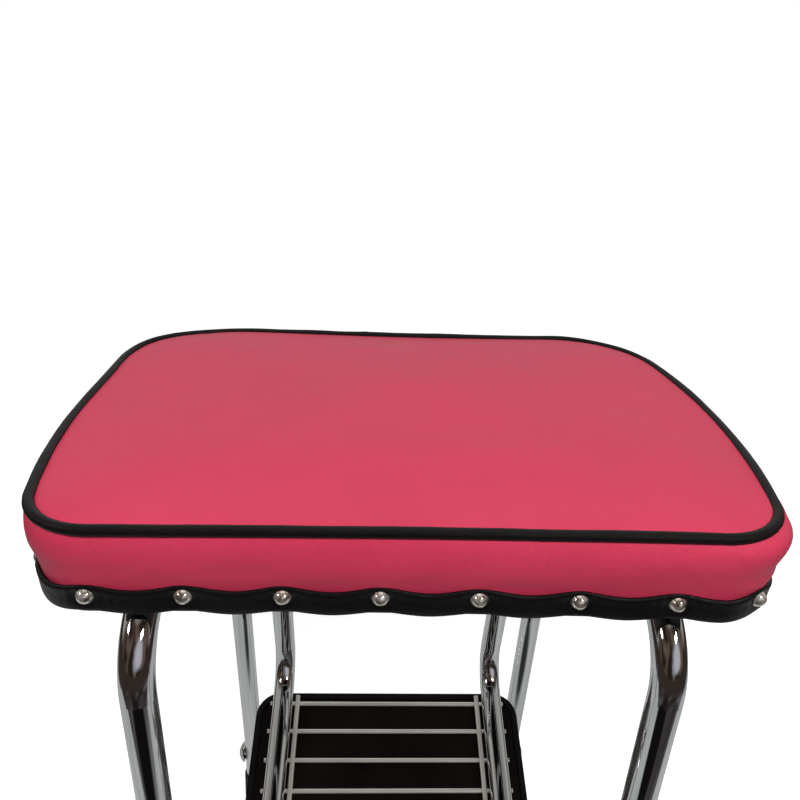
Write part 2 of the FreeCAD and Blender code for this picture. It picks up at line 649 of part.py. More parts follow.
for side in (-1, 1):
    nuts.append(moved(nut.Shape, to_axis(PIV + V(side * (LEG_OUT + 0.1), 0, 0), V(side, 0, 0))))
keep(group("pivot_nut_set", nuts), "pivot_nuts")

# ---------------------------------------------------------------- stop brackets, pins, sleeves
STOP_N = -(S("step_od") / 2 + S("stop_gap") + S("stop_sleeve_od") / 2)
stop_c = stored(0, S("stop_at"), STOP_N)
pr = S("plate_round")
for side, word in ((-1, "left"), (1, "right")):
    pl = new_body("stop_bracket_%s_body" % word)
    sk = new_sketch(pl, "YZ_Plane", "stop_bracket_%s_outline" % word)
    a = V(0, 0, 0)
    b = V(stop_c.y - PIV.y, stop_c.z - PIV.z, 0)
    u = (b - a).normalize()
    w = V(-u.y, u.x, 0)
    r1, r2 = pr, 9.0
    sa = (r1 - r2) / (b - a).Length
    up_n = w * math.sqrt(1 - sa * sa) + u * sa
    dn_n = w * -math.sqrt(1 - sa * sa) + u * sa
    A1, A2 = a + up_n * r1, a + dn_n * r1
    B1, B2 = b + up_n * r2, b + dn_n * r2
    sk.addGeometry(Part.LineSegment(A1, B1), False)
    sk.addGeometry(Part.Arc(B1, b + u * r2, B2), False)
    sk.addGeometry(Part.LineSegment(B2, A2), False)
    sk.addGeometry(Part.Arc(A2, a - u * r1, A1), False)
    add_circle(sk, 0, 0, "Sizes.spacer_bore / 2")
    add_circle(sk, b.x, b.y, "Sizes.stop_pin_dia / 2")
    pad(pl, sk, "Sizes.stop_plate", "stop_bracket_%s_pad" % word, mid=True)
    pl.Placement = PLC(PIV + V(side * (PLATE_OUT + PLATE_IN) / 2, 0, 0), ROT())
    fit = boolean("Part::Cut", "stop_bracket_%s_fit" % word, pl, frames[side][1])
    doc.recompute()
    keep(fit, "stop_bracket_" + word)

PIN_IN = S("step_x") - S("step_od") / 2 - 1.5
pin = turned("stop_pin", [(0, 0), (S("stop_pin_dia") / 2 - 1, 0), (S("stop_pin_dia") / 2, 1),
                          (S("stop_pin_dia") / 2, PLATE_OUT - PIN_IN), (0, PLATE_OUT - PIN_IN)])
slv = turned("stop_sleeve", [(S("stop_pin_dia") / 2, 0), (S("stop_sleeve_od") / 2 - 1, 0),
                             (S("stop_sleeve_od") / 2, 1), (S("stop_sleeve_od") / 2, 19),
                             (S("stop_sleeve_od") / 2 - 1, 20), (S("stop_pin_dia") / 2, 20)])
pins, slvs = [], []
for side in (-1, 1):
    pins.append(moved(pin.Shape, to_axis(V(side * PIN_IN, stop_c.y, stop_c.z), V(side, 0, 0))))
    slvs.append(moved(slv.Shape, to_axis(V(side * (PIN_IN + 1.2), stop_c.y, stop_c.z), V(side, 0, 0))))
keep(group("stop_pin_set", pins), "stop_pins")
keep(group("stop_sleeve_set", slvs), "stop_sleeves")

# ---------------------------------------------------------------- step tubes
rad = math.radians
la = rad(S("step_leg_slope") - S("step_slope"))
leg_dir = V(0, math.cos(la), math.sin(la))       # local direction of the step's own legs
bend = V(0, S("step_run"), 0)
ROD_N = -(S("step_od") / 2 + S("rod_dia") / 2)
BOARD_N = ROD_N - S("rod_dia") / 2
SCREW_S = (84.0, 214.0)
screw = turned("tread_screw", [(0, 0), (4.9, 0), (2.5, 2.6), (2.5, 19.0), (0, 21.0)])
screws = []
for side in (-1, 1):
    for s in SCREW_S:
        screws.append(moved(screw.Shape, STEP_PL.multiply(
            PLC(V(side * S("step_x"), s, BOARD_N - S("tread_board_thick")), ROT()))))
screw_set = group("tread_screw_set", screws)
keep(screw_set, "tread_screws")

step_tubes = {}
for side, word in ((-1, "left"), (1, "right")):
    x = side * S("step_x")
    lp = [V(x, -S("step_stub"), 0), V(x, S("step_run"), 0),
          V(x, bend.y + leg_dir.y * (S("step_leg_len") - 1.0), leg_dir.z * (S("step_leg_len") - 1.0))]
    wp = [STEP_PL.multVec(p) for p in lp]
    holes = [(V(x - 20, PIV.y, PIV.z), X_AXIS, "Sizes.pivot_bush_od / 2", 40.0)]
    for s in SCREW_S:
        holes.append((stored(x, s, -S("step_od") / 2 - 3), STEP_PL.Rotation.multVec(V(0, 0, 1)),
                      "2.5", 8.0))
    tube, outer = bent_tube("step_tube_" + word, wp, [S("step_bend_radius")],
                            "Sizes.step_od / 2", "Sizes.step_wall", holes)
    doc.recompute()
    step_tubes[side] = (tube, outer, wp)
    keep(tube, "step_tube_" + word)

# end plugs in the tubes' front ends
sr_ = S("step_od") / 2
plg = new_body("tube_plug_body")
sk = new_sketch(plg, "XZ_Plane", "tube_plug_profile")
big = (sr_ * sr_ + 3.6 * 3.6) / 7.2
ma = 0.5 * math.asin(sr_ / big)
sk.addGeometry(Part.Arc(V(sr_, 0.0, 0), V(big * math.sin(ma), 3.6 - big + big * math.cos(ma), 0),
                        V(0, 3.6, 0)), False)
for a, b in ((V(0, 3.6, 0), V(0, -5, 0)), (V(0, -5, 0), V(sr_ - S("step_wall") - 0.6, -5, 0)),
             (V(sr_ - S("step_wall") - 0.6, -5, 0), V(sr_ - S("step_wall"), -4, 0)),
             (V(sr_ - S("step_wall"), -4, 0), V(sr_ - S("step_wall"), 0, 0)),
             (V(sr_ - S("step_wall"), 0, 0), V(sr_, 0, 0))):
    sk.addGeometry(Part.LineSegment(a, b), False)
revolve(plg, sk, "tube_plug_turn")
keep(group("tube_plug_set", [moved(plg.Shape, to_axis(stored(side * S("step_x"), -S("step_stub"), 0),
                                                      STEP_PL.Rotation.multVec(V(0, -1, 0))))
                             for side in (-1, 1)]), "step_tube_plugs")

# bushes
for side, word in ((-1, "left"), (1, "right")):
    bu = turned("pivot_bush_" + word, [(S("pivot_bush_bore") / 2, 0), (S("pivot_bush_od") / 2, 0),
                                       (S("pivot_bush_od") / 2, BUSH_OUT - BUSH_IN),
                                       (S("pivot_flange_od") / 2, BUSH_OUT - BUSH_IN),
                                       (S("pivot_flange_od") / 2, BUSH_OUT - BUSH_IN + FLANGE),
                                       (S("pivot_bush_bore") / 2, BUSH_OUT - BUSH_IN + FLANGE)])
    bu.Placement = to_axis(PIV + V(side * BUSH_IN, 0, 0), V(side, 0, 0))
    doc.recompute()
    keep(bu, "pivot_bush_" + word)

# tie bar between the step's legs
tie_c = STEP_PL.multVec(bend + leg_dir * S("step_bar_at"))
bar = doc.addObject("Part::Cylinder", "step_tie_bar")
bar.setExpression("Radius", "Sizes.step_bar_od / 2")
bar.setExpression("Height", "2 * Sizes.step_x")
bar.Placement = to_axis(tie_c - V(S("step_x"), 0, 0), X_AXIS)
c1 = boolean("Part::Cut", "step_tie_l", bar, step_tubes[-1][1])
c2 = boolean("Part::Cut", "step_tie_r", c1, step_tubes[1][1])
doc.recompute()
keep(c2, "step_leg_bar")

# rubber tips
tr = S("step_tip_radius")
tip = new_body("step_tip_body")
sk = new_sketch(tip, "XZ_Plane", "step_tip_profile")
sk.addGeometry(Part.Arc(V(0, tr, 0), V(tr * math.sin(rad(45)), tr * math.cos(rad(45)), 0), V(tr, 0, 0)), False)
for a, b in ((V(tr, 0, 0), V(tr - 0.6, -24, 0)), (V(tr - 0.6, -24, 0), V(0, -24, 0)),
             (V(0, -24, 0), V(0, tr, 0))):
    sk.addGeometry(Part.LineSegment(a, b), False)
revolve(tip, sk, "step_tip_turn")
leg_w = STEP_PL.Rotation.multVec(leg_dir)
for side, word in ((-1, "left"), (1, "right")):
    c = STEP_PL.multVec(V(side * S("step_x"), 0, 0) + bend + leg_dir * S("step_leg_len"))
    raw = doc.addObject("Part::Feature", "step_tip_%s_raw" % word)
    raw.Shape = tip.Shape.copy()
    raw.Placement = to_axis(c, leg_w)
    cut = boolean("Part::Cut", "step_tip_%s_cut" % word, raw, step_tubes[side][1])
    doc.recompute()
    solids = sorted(cut.Shape.Solids, key=lambda q: -q.Volume)
    keep(cut, "step_foot_" + word)

# ---------------------------------------------------------------- tread
rods = []
for k in range(int(S("rod_count"))):
    s = S("rod_first") - k * S("rod_pitch")
    rods.append(Part.makeCylinder(S("rod_dia") / 2, 2 * S("rod_half"),
                                  stored(-S("rod_half"), s, ROD_N), X_AXIS))
keep(group("cross_rod_set", rods), "tread_cross_rods")
ln = ROD_N + S("rod_dia") / 2 + S("long_rod_dia") / 2
s0 = S("rod_first") - (S("rod_count") - 1) * S("rod_pitch") - 5.0
s1 = S("rod_first") + 6.0
keep(group("long_rod_set", [Part.makeCylinder(S("long_rod_dia") / 2, s1 - s0,
                                              stored(side * S("long_rod_x"), s0, ln),
                                              STEP_PL.Rotation.multVec(V(0, 1, 0)))
                            for side in (-1, 1)]), "tread_long_rods")


def tread_wire(inset):
    hw = S("tread_half_width") - inset
    a, b = S("tread_near") + inset, S("tread_far") - inset
    r = S("tread_corner") - inset
    block = Part.makeBox(2 * hw, b - a, 10, V(-hw, a, 0))
    ed = [e for e in block.Edges if abs(e.BoundBox.ZLength - 10) < 1e-6]
    block = block.makeFillet(r, ed)
    for fc in block.Faces:
        if abs(fc.BoundBox.ZMax) < 1e-6:
            return fc.OuterWire
    raise ValueError("tread")


te = S("tread_edge_thick")
bd = new_body("tread_board_body")
sk = new_sketch(bd, "XY_Plane", "tread_board_outline")
add_wire(sk, tread_wire(te))
pad(bd, sk, "Sizes.tread_board_thick", "tread_board_pad", back=True)
bd.Placement = STEP_PL.multiply(PLC(V(0, 0, BOARD_N), ROT()))
bcut = boolean("Part::Cut", "tread_board_drilled", bd, screw_set)
doc.recompute()
keep(bcut, "tread_board")

mat = new_body("tread_mat_body")
sk = new_sketch(mat, "XY_Plane", "tread_mat_outline")
add_wire(sk, tread_wire(te))
pad(mat, sk, "Sizes.mat_thick", "tread_mat_pad", back=True)
v0 = mat.Shape.Volume
mid_s = (S("tread_near") + S("tread_far")) / 2
gl = S("tread_far") - S("tread_near") - 2 * te - 24
sk = new_sketch(mat, "XY_Plane", "tread_mat_groove", -S("mat_thick"))
half_n = int((S("tread_half_width") - te - 14) / S("mat_pitch"))
x0 = -half_n * S("mat_pitch")
gw = S("mat_groove") / 2
add_loop(sk, [(x0 - gw, mid_s - gl / 2), (x0 + gw, mid_s - gl / 2), (x0 + gw, mid_s + gl / 2),
              (x0 - gw, mid_s + gl / 2)])
gp = mat.newObject("PartDesign::Pocket", "tread_mat_channel")
gp.Profile = sk
gp.setExpression("Length", "Sizes.mat_groove_depth")
gp.Reversed = True
doc.recompute()
if mat.Shape.Volume >= v0 - 10:
    gp.Reversed = False
    doc.recompute()
if mat.Shape.Volume >= v0 - 10:
    raise ValueError("mat groove cuts nothing")
lp_ = mat.newObject("PartDesign::LinearPattern", "tread_mat_channels")
lp_.Originals = [gp]
lp_.Direction = (sk, ["H_Axis"])
lp_.Length = 2 * half_n * S("mat_pitch")
lp_.Occurrences = 2 * half_n + 1
mat.Tip = lp_
doc.recompute()
MAT_N = BOARD_N - S("tread_board_thick")
mat.Placement = STEP_PL.multiply(PLC(V(0, 0, MAT_N), ROT()))
keep(mat, "tread_mat")

# edging: a channel round the board, with a lip over its rod side
edge = new_body("tread_edge_body")
sk = new_sketch(edge, "XY_Plane", "tread_edge_ring", S("tread_lip"))
add_wire(sk, tread_wire(0.0))
add_wire(sk, tread_wire(te))
pad(edge, sk, "Sizes.tread_lip + Sizes.tread_board_thick + Sizes.mat_thick", "tread_edge_wall", back=True)
sk = new_sketch(edge, "XY_Plane", "tread_edge_lip")
add_wire(sk, tread_wire(te - 0.5))
add_wire(sk, tread_wire(S("tread_lip_in")))
pad(edge, sk, "Sizes.tread_lip", "tread_edge_flange")
edge.Placement = STEP_PL.multiply(PLC(V(0, 0, BOARD_N), ROT()))
keep(edge, "tread_edging")

# spacers between board and tubes
sps = []
for side in (-1, 1):
    for s in SCREW_S:
        ring_ = Part.makeCylinder(6.5, -(S("step_od") / 2) - BOARD_N,
                                  stored(side * S("step_x"), s, BOARD_N),
                                  STEP_PL.Rotation.multVec(V(0, 0, 1)))
        hole_ = Part.makeCylinder(2.5, 10, stored(side * S("step_x"), s, BOARD_N - 2),
                                  STEP_PL.Rotation.multVec(V(0, 0, 1)))
        sps.append(ring_.cut(hole_))
keep(group("tread_spacer_set", sps), "tread_spacers")

# ---------------------------------------------------------------- checks and export
doc.recompute()
bad = [o.Name for o in doc.Objects if "Invalid" in o.State or "Error" in o.State]
if bad:
    raise ValueError("failed objects: %s" % bad)
names = set()
box = FreeCAD.BoundBox()
for o in made:
    sh = o.Shape
    if sh.isNull() or not sh.isValid() or not sh.Solids:
        raise ValueError("bad shape: " + o.Label)
    if o.Label in names:
        raise ValueError("name used twice: " + o.Label)
    names.add(o.Label)
    box.add(sh.BoundBox)
for o in made:
    o.Shape.exportStep("parts/%s.step" % o.Label)
    print("%-22s solids %2d volume %10.1f" % (o.Label, len(o.Shape.Solids), o.Shape.Volume))
print("pivot y %.3f z %.3f" % (PIV.y, PIV.z))
print("box x %.2f %.2f y %.2f %.2f z %.2f %.2f" % (box.XMin, box.XMax, box.YMin, box.YMax, box.ZMin, box.ZMax))
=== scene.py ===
import bpy
import bmesh
import math
from mathutils import Matrix, Vector, noise


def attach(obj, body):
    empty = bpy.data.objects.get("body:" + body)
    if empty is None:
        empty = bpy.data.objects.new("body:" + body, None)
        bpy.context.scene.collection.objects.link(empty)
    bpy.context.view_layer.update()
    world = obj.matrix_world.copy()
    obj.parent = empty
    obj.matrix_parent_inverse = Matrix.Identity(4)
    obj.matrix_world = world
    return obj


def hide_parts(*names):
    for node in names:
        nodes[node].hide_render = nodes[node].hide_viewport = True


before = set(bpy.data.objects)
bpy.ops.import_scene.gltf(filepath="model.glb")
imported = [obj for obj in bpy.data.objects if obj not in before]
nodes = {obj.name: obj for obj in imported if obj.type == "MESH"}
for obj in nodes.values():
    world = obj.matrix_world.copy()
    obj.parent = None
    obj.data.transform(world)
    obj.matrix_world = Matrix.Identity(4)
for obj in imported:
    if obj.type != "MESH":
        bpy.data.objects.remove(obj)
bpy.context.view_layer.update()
scene = bpy.context.scene
MM = 0.001
YC = 11.0 * MM                 # seat centre, behind the stool's origin

# ------------------------------------------------------------------ camera
FOCAL, PITCH, ROLL, YAW = 700.0, 0.42921, 0.04222, -0.04822
EYE = Vector((-24.340 * MM, -447.030 * MM + YC, 809.889 * MM))
right = Vector((math.cos(YAW), math.sin(YAW), 0.0))
fwd = Vector((-math.sin(YAW) * math.cos(PITCH), math.cos(YAW) * math.cos(PITCH), -math.sin(PITCH)))
up = right.cross(fwd)
cam_x = math.cos(ROLL) * right + math.sin(ROLL) * up
cam_y = -math.sin(ROLL) * right + math.cos(ROLL) * up
cam_data = bpy.data.cameras.new("camera")
cam_data.sensor_fit = "HORIZONTAL"
cam_data.sensor_width = 36.0
cam_data.lens = 36.0 * FOCAL / 800.0
cam_data.clip_start = 0.02
cam_data.clip_end = 60.0
cam = bpy.data.objects.new("camera", cam_data)
scene.collection.objects.link(cam)
cam.matrix_world = Matrix((
    (cam_x.x, cam_y.x, -fwd.x, EYE.x),
    (cam_x.y, cam_y.y, -fwd.y, EYE.y),
    (cam_x.z, cam_y.z, -fwd.z, EYE.z),
    (0.0, 0.0, 0.0, 1.0)))
scene.camera = cam
scene.view_settings.view_transform = "Standard"
scene.view_settings.look = "None"


# ------------------------------------------------------------------ node helpers
class Graph:
    def __init__(self, name):
        self.mat = bpy.data.materials.new(name)
        self.mat.use_nodes = True
        self.nt = self.mat.node_tree
        self.nt.nodes.clear()
        self.out = self.nt.nodes.new("ShaderNodeOutputMaterial")
        self.bsdf = self.nt.nodes.new("ShaderNodeBsdfPrincipled")
        self.nt.links.new(self.bsdf.outputs[0], self.out.inputs[0])

    def add(self, kind, **inputs):
        n = self.nt.nodes.new(kind)
        for k, v in inputs.items():
            if k.startswith("_"):
                setattr(n, k[1:], v)
            else:
                self.put(n, k.replace("__", " "), v)
        return n

    def put(self, n, key, v):
        sock = n.inputs[int(key[1:])] if key[0] == "i" and key[1:].isdigit() else n.inputs[key]
        if isinstance(v, bpy.types.NodeSocket):
            self.nt.links.new(v, sock)
        else:
            sock.default_value = v

    def set(self, **vals):
        for k, v in vals.items():
            self.put(self.bsdf, k.replace("__", " "), v)

    def coords(self):
        n = self.nt.nodes.new("ShaderNodeTexCoord")
        return n.outputs["Object"]

    def noise(self, co, scale, detail=3.0, rough=0.5, distort=0.0):
        n = self.add("ShaderNodeTexNoise", Vector=co, Scale=scale, Detail=detail, Roughness=rough, Distortion=distort)
        return n.outputs[0]

    def voronoi(self, co, scale, feature="F1", rnd=1.0):
        n = self.nt.nodes.new("ShaderNodeTexVoronoi")
        n.feature = feature
        self.put(n, "Vector", co)
        self.put(n, "Scale", scale)
        self.put(n, "Randomness", rnd)
        return n.outputs["Distance"]

    def ramp(self, fac, stops):
        n = self.nt.nodes.new("ShaderNodeValToRGB")
        self.put(n, "Fac", fac)
        el = n.color_ramp.elements
        while len(el) < len(stops):
            el.new(0.5)
        for e, (pos, col) in zip(el, stops):
            e.position = pos
            e.color = (col[0], col[1], col[2], 1.0) if not isinstance(col, float) else (col, col, col, 1.0)
        return n.outputs[0]

    def span(self, fac, lo, hi, a=0.0, b=1.0):
        n = self.nt.nodes.new("ShaderNodeMapRange")
        self.put(n, "Value", fac)
        n.inputs["From Min"].default_value = a
        n.inputs["From Max"].default_value = b
        n.inputs["To Min"].default_value = lo
        n.inputs["To Max"].default_value = hi
        return n.outputs[0]

    def mix(self, fac, a, b):
        n = self.nt.nodes.new("ShaderNodeMix")
        n.data_type = "RGBA"
        self.put(n, "i0", fac)
        for i, v in ((6, a), (7, b)):
            if isinstance(v, bpy.types.NodeSocket):
                self.nt.links.new(v, n.inputs[i])
            else:
                n.inputs[i].default_value = (v[0], v[1], v[2], 1.0)
        return n.outputs[2]

    def math(self, op, a, b=0.0):
        n = self.nt.nodes.new("ShaderNodeMath")
        n.operation = op
        for i, v in ((0, a), (1, b)):
            if isinstance(v, bpy.types.NodeSocket):
                self.nt.links.new(v, n.inputs[i])
            else:
                n.inputs[i].default_value = v
        return n.outputs[0]

    def scaled(self, co, x, y, z):
        n = self.nt.nodes.new("ShaderNodeMapping")
        self.put(n, "Vector", co)
        n.inputs["Scale"].default_value = (x, y, z)
        return n.outputs[0]

    def bump(self, height, strength, dist, prev=None):
        n = self.nt.nodes.new("ShaderNodeBump")
        n.inputs["Strength"].default_value = strength
        n.inputs["Distance"].default_value = dist
        self.put(n, "Height", height)
        if prev is not None:
            self.put(n, "Normal", prev)
        return n.outputs[0]


# ------------------------------------------------------------------ materials
def vinyl(name, dark, light, rough=(0.40, 0.52), grain=1.0, spec=0.5, sheen=0.0):
    """Coated upholstery vinyl: pebbled grain, faint creases and uneven gloss."""
    g = Graph(name)
    co = g.coords()
    broad = g.noise(co, 14.0, 4.0, 0.55)
    fine = g.noise(co, 240.0, 2.0, 0.6)
    tone = g.math("ADD", g.math("MULTIPLY", broad, 0.7), g.math("MULTIPLY", fine, 0.3))
    col = g.ramp(tone, [(0.30, dark), (0.72, light)])
    pebble = g.voronoi(co, 780.0, "F1")
    creases = g.noise(g.scaled(co, 1.0, 0.6, 1.7), 420.0, 5.0, 0.62, 0.6)
    slack = g.noise(co, 26.0, 3.0, 0.5)
    n1 = g.bump(pebble, 0.34 * grain, 0.00040)
    n2 = g.bump(creases, 0.46 * grain, 0.00055, n1)
    n3 = g.bump(slack, 0.35, 0.0012, n2)
    r = g.span(g.math("ADD", g.math("MULTIPLY", fine, 0.5), g.math("MULTIPLY", broad, 0.5)), rough[0], rough[1], 0.3, 0.7)
    g.set(Base__Color=col, Roughness=r, Normal=n3)
    g.bsdf.inputs["Specular IOR Level"].default_value = spec
    g.bsdf.inputs["Sheen Weight"].default_value = sheen
    g.bsdf.inputs["Sheen Roughness"].default_value = 0.45
    return g.mat


def chrome(name, tint=(0.80, 0.81, 0.825), rough=(0.035, 0.085), pits=True):
    """Plated tube: almost a mirror, with wipe marks, a few pits and a soft draw grain."""
    g = Graph(name)
    co = g.coords()
    smear = g.noise(g.scaled(co, 1.0, 1.0, 0.25), 42.0, 5.0, 0.6, 0.4)
    cloud = g.noise(co, 9.0, 3.0, 0.5)
    r = g.span(g.math("MULTIPLY", smear, g.math("ADD", cloud, 0.45)), rough[0], rough[1], 0.25, 0.75)
    col = g.ramp(cloud, [(0.3, tuple(c * 0.93 for c in tint)), (0.7, tint)])
    if pits:
        dots = g.voronoi(co, 210.0, "F1")
        patch = g.noise(co, 17.0, 2.0, 0.5)
        few = g.math("MULTIPLY", g.span(dots, 1.0, 0.0, 0.03, 0.075), g.span(patch, 0.0, 1.0, 0.56, 0.66))
        col = g.mix(few, col, (0.16, 0.115, 0.085))
        r = g.math("ADD", r, g.math("MULTIPLY", few, 0.35))
    n1 = g.bump(g.noise(co, 60.0, 3.0, 0.5), 0.10, 0.0004)
    n2 = g.bump(g.noise(g.scaled(co, 1.0, 1.0, 0.05), 900.0, 2.0, 0.5), 0.05, 0.00004, n1)
    g.set(Base__Color=col, Roughness=r, Normal=n2)
    g.bsdf.inputs["Metallic"].default_value = 1.0
    return g.mat


def metal(name, tint, rough, scale=260.0, bump=0.12, metallic=1.0):
    g = Graph(name)
    co = g.coords()
    a = g.noise(co, scale, 4.0, 0.6)
    b = g.noise(co, 24.0, 3.0, 0.5)
    g.set(Base__Color=g.ramp(b, [(0.3, tuple(c * 0.82 for c in tint)), (0.7, tint)]),
          Roughness=g.span(a, rough[0], rough[1], 0.3, 0.7), Normal=g.bump(a, bump, 0.00012))
    g.bsdf.inputs["Metallic"].default_value = metallic
    return g.mat


def nail_metal(name):
    """Nickelled dome: bright, with small dull and brown marks."""
    g = Graph(name)
    co = g.coords()
    marks = g.noise(co, 560.0, 3.0, 0.6, 0.3)
    blotch = g.noise(co, 210.0, 2.0, 0.5)
    g.set(Base__Color=g.ramp(g.math("ADD", g.math("MULTIPLY", marks, 0.5), g.math("MULTIPLY", blotch, 0.5)),
                             [(0.34, (0.52, 0.43, 0.34)), (0.45, (0.88, 0.82, 0.73)), (0.62, (0.98, 0.95, 0.90))]),
          Roughness=g.span(marks, 0.10, 0.22, 0.35, 0.65),
          Metallic=g.span(blotch, 0.80, 0.97, 0.62, 0.40), Normal=g.bump(marks, 0.10, 0.00006))
    return g.mat


def plastic(name, dark, light, rough, scale=300.0, bump=0.15, depth=0.00015, spec=0.5):
    g = Graph(name)
    co = g.coords()
    a = g.noise(co, scale, 4.0, 0.62)
    b = g.noise(co, 18.0, 3.0, 0.5)
    g.set(Base__Color=g.ramp(b, [(0.3, dark), (0.72, light)]), Roughness=g.span(a, rough[0], rough[1], 0.3, 0.7),
          Normal=g.bump(a, bump, depth))
    g.bsdf.inputs["Specular IOR Level"].default_value = spec
    return g.mat


def plywood(name):
    g = Graph(name)
    co = g.coords()
    grain = g.noise(g.scaled(co, 3.0, 46.0, 160.0), 4.0, 6.0, 0.62, 0.5)
    knots = g.noise(g.scaled(co, 2.0, 9.0, 30.0), 5.0, 3.0, 0.5, 1.6)
    tone = g.math("ADD", g.math("MULTIPLY", grain, 0.6), g.math("MULTIPLY", knots, 0.4))
    col = g.ramp(tone, [(0.28, (0.20, 0.115, 0.055)), (0.5, (0.42, 0.27, 0.145)), (0.75, (0.58, 0.41, 0.24))])
    g.set(Base__Color=col, Roughness=g.span(grain, 0.55, 0.8), Normal=g.bump(grain, 0.3, 0.0004))
    return g.mat


def ribbed_rubber(name):
    g = Graph(name)
    co = g.coords()
    a = g.noise(co, 520.0, 4.0, 0.65)
    b = g.noise(co, 12.0, 4.0, 0.55)
    c = g.noise(g.scaled(co, 60.0, 6.0, 6.0), 3.0, 4.0, 0.6)
    wear = g.math("MULTIPLY", b, c)
    g.set(Base__Color=g.ramp(wear, [(0.12, (0.006, 0.0055, 0.0055)), (0.45, (0.021, 0.019, 0.018))]),
          Roughness=g.span(a, 0.5, 0.78, 0.3, 0.7), Normal=g.bump(a, 0.35, 0.0002))
    return g.mat


PINK = vinyl("seat_vinyl_pink", (0.605, 0.037, 0.090), (0.700, 0.050, 0.114), rough=(0.44, 0.58), sheen=0.01)
BLACK = vinyl("trim_vinyl_black", (0.0030, 0.0027, 0.0028), (0.0062, 0.0054, 0.0056), rough=(0.30, 0.44), grain=0.8, spec=0.34)
PIPE = vinyl("piping_vinyl_black", (0.0036, 0.0031, 0.0031), (0.0066, 0.0056, 0.0054), rough=(0.40, 0.52), grain=0.9, spec=0.24)
CHROME = chrome("chrome_tube")
NAIL = nail_metal("nickel_nail")
CAP = chrome("chrome_cap", tint=(0.62, 0.61, 0.60), rough=(0.09, 0.2), pits=False)
WIRE = metal("wire_plated", (0.95, 0.92, 0.85), (0.12, 0.22), 160.0, 0.03, 0.68)
ZINC = metal("zinc_steel", (0.60, 0.61, 0.62), (0.28, 0.45))
BOARD = plastic("tread_board_black", (0.0026, 0.0018, 0.0017), (0.0060, 0.0040, 0.0034), (0.42, 0.6), 130.0, 0.3, 0.0004, 0.15)
EDGE = plastic("edging_black", (0.0022, 0.0021, 0.0022), (0.0055, 0.0051, 0.0052), (0.40, 0.55), 340.0, 0.18, 0.00015, 0.20)
PLAST = plastic("fitting_plastic_black", (0.010, 0.010, 0.010), (0.024, 0.024, 0.024), (0.38, 0.52))
NYLON = plastic("bush_nylon", (0.52, 0.50, 0.44), (0.70, 0.68, 0.62), (0.35, 0.5))
RUBBER = plastic("foot_rubber", (0.010, 0.0098, 0.0095), (0.028, 0.027, 0.026), (0.55, 0.8), 420.0, 0.35, 0.0003, 0.35)
MAT = ribbed_rubber("tread_mat_rubber")
WOOD = plywood("seat_plywood")

paint = {
    "seat_board": WOOD, "trim_nails": NAIL, "side_frame_left": CHROME, "side_frame_right": CHROME,
    "underseat_bar_front": CHROME, "underseat_bar_rear": CHROME, "seat_bolts": ZINC, "seat_tee_nuts": ZINC,
    "rear_stretcher": CHROME, "stretcher_plugs": PLAST, "stretcher_bolts": CAP, "pivot_rod": ZINC,
    "pivot_sleeve": PLAST, "pivot_spacer_left": PLAST, "pivot_spacer_right": PLAST, "pivot_nuts": CAP,
    "stop_bracket_left": CHROME, "stop_bracket_right": CHROME, "stop_pins": ZINC, "stop_sleeves": RUBBER,
    "step_tube_left": CHROME, "step_tube_right": CHROME, "step_tube_plugs": PLAST, "pivot_bush_left": NYLON,
    "pivot_bush_right": NYLON, "step_leg_bar": CHROME, "tread_cross_rods": WIRE, "tread_long_rods": WIRE,
    "tread_board": BOARD, "tread_mat": MAT, "tread_edging": EDGE, "tread_screws": ZINC, "tread_spacers": PLAST,
    "foot_front_left": RUBBER, "foot_front_right": RUBBER, "foot_rear_left": RUBBER, "foot_rear_right": RUBBER,
    "step_foot_left": RUBBER, "step_foot_right": RUBBER,
}
for name, mat in paint.items():
    ob = nodes[name]
    if not ob.material_slots:
        ob.data.materials.append(mat)
    for s in ob.material_slots:
        s.material = mat

# ------------------------------------------------------------------ seat outline, as in the CAD (mm)
HW, HD, BOW, FB, RB, RF, RR, RL = 196.2, 153.7, 23.7, 2.4, 5.0, 42.8, 75.0, 62.0


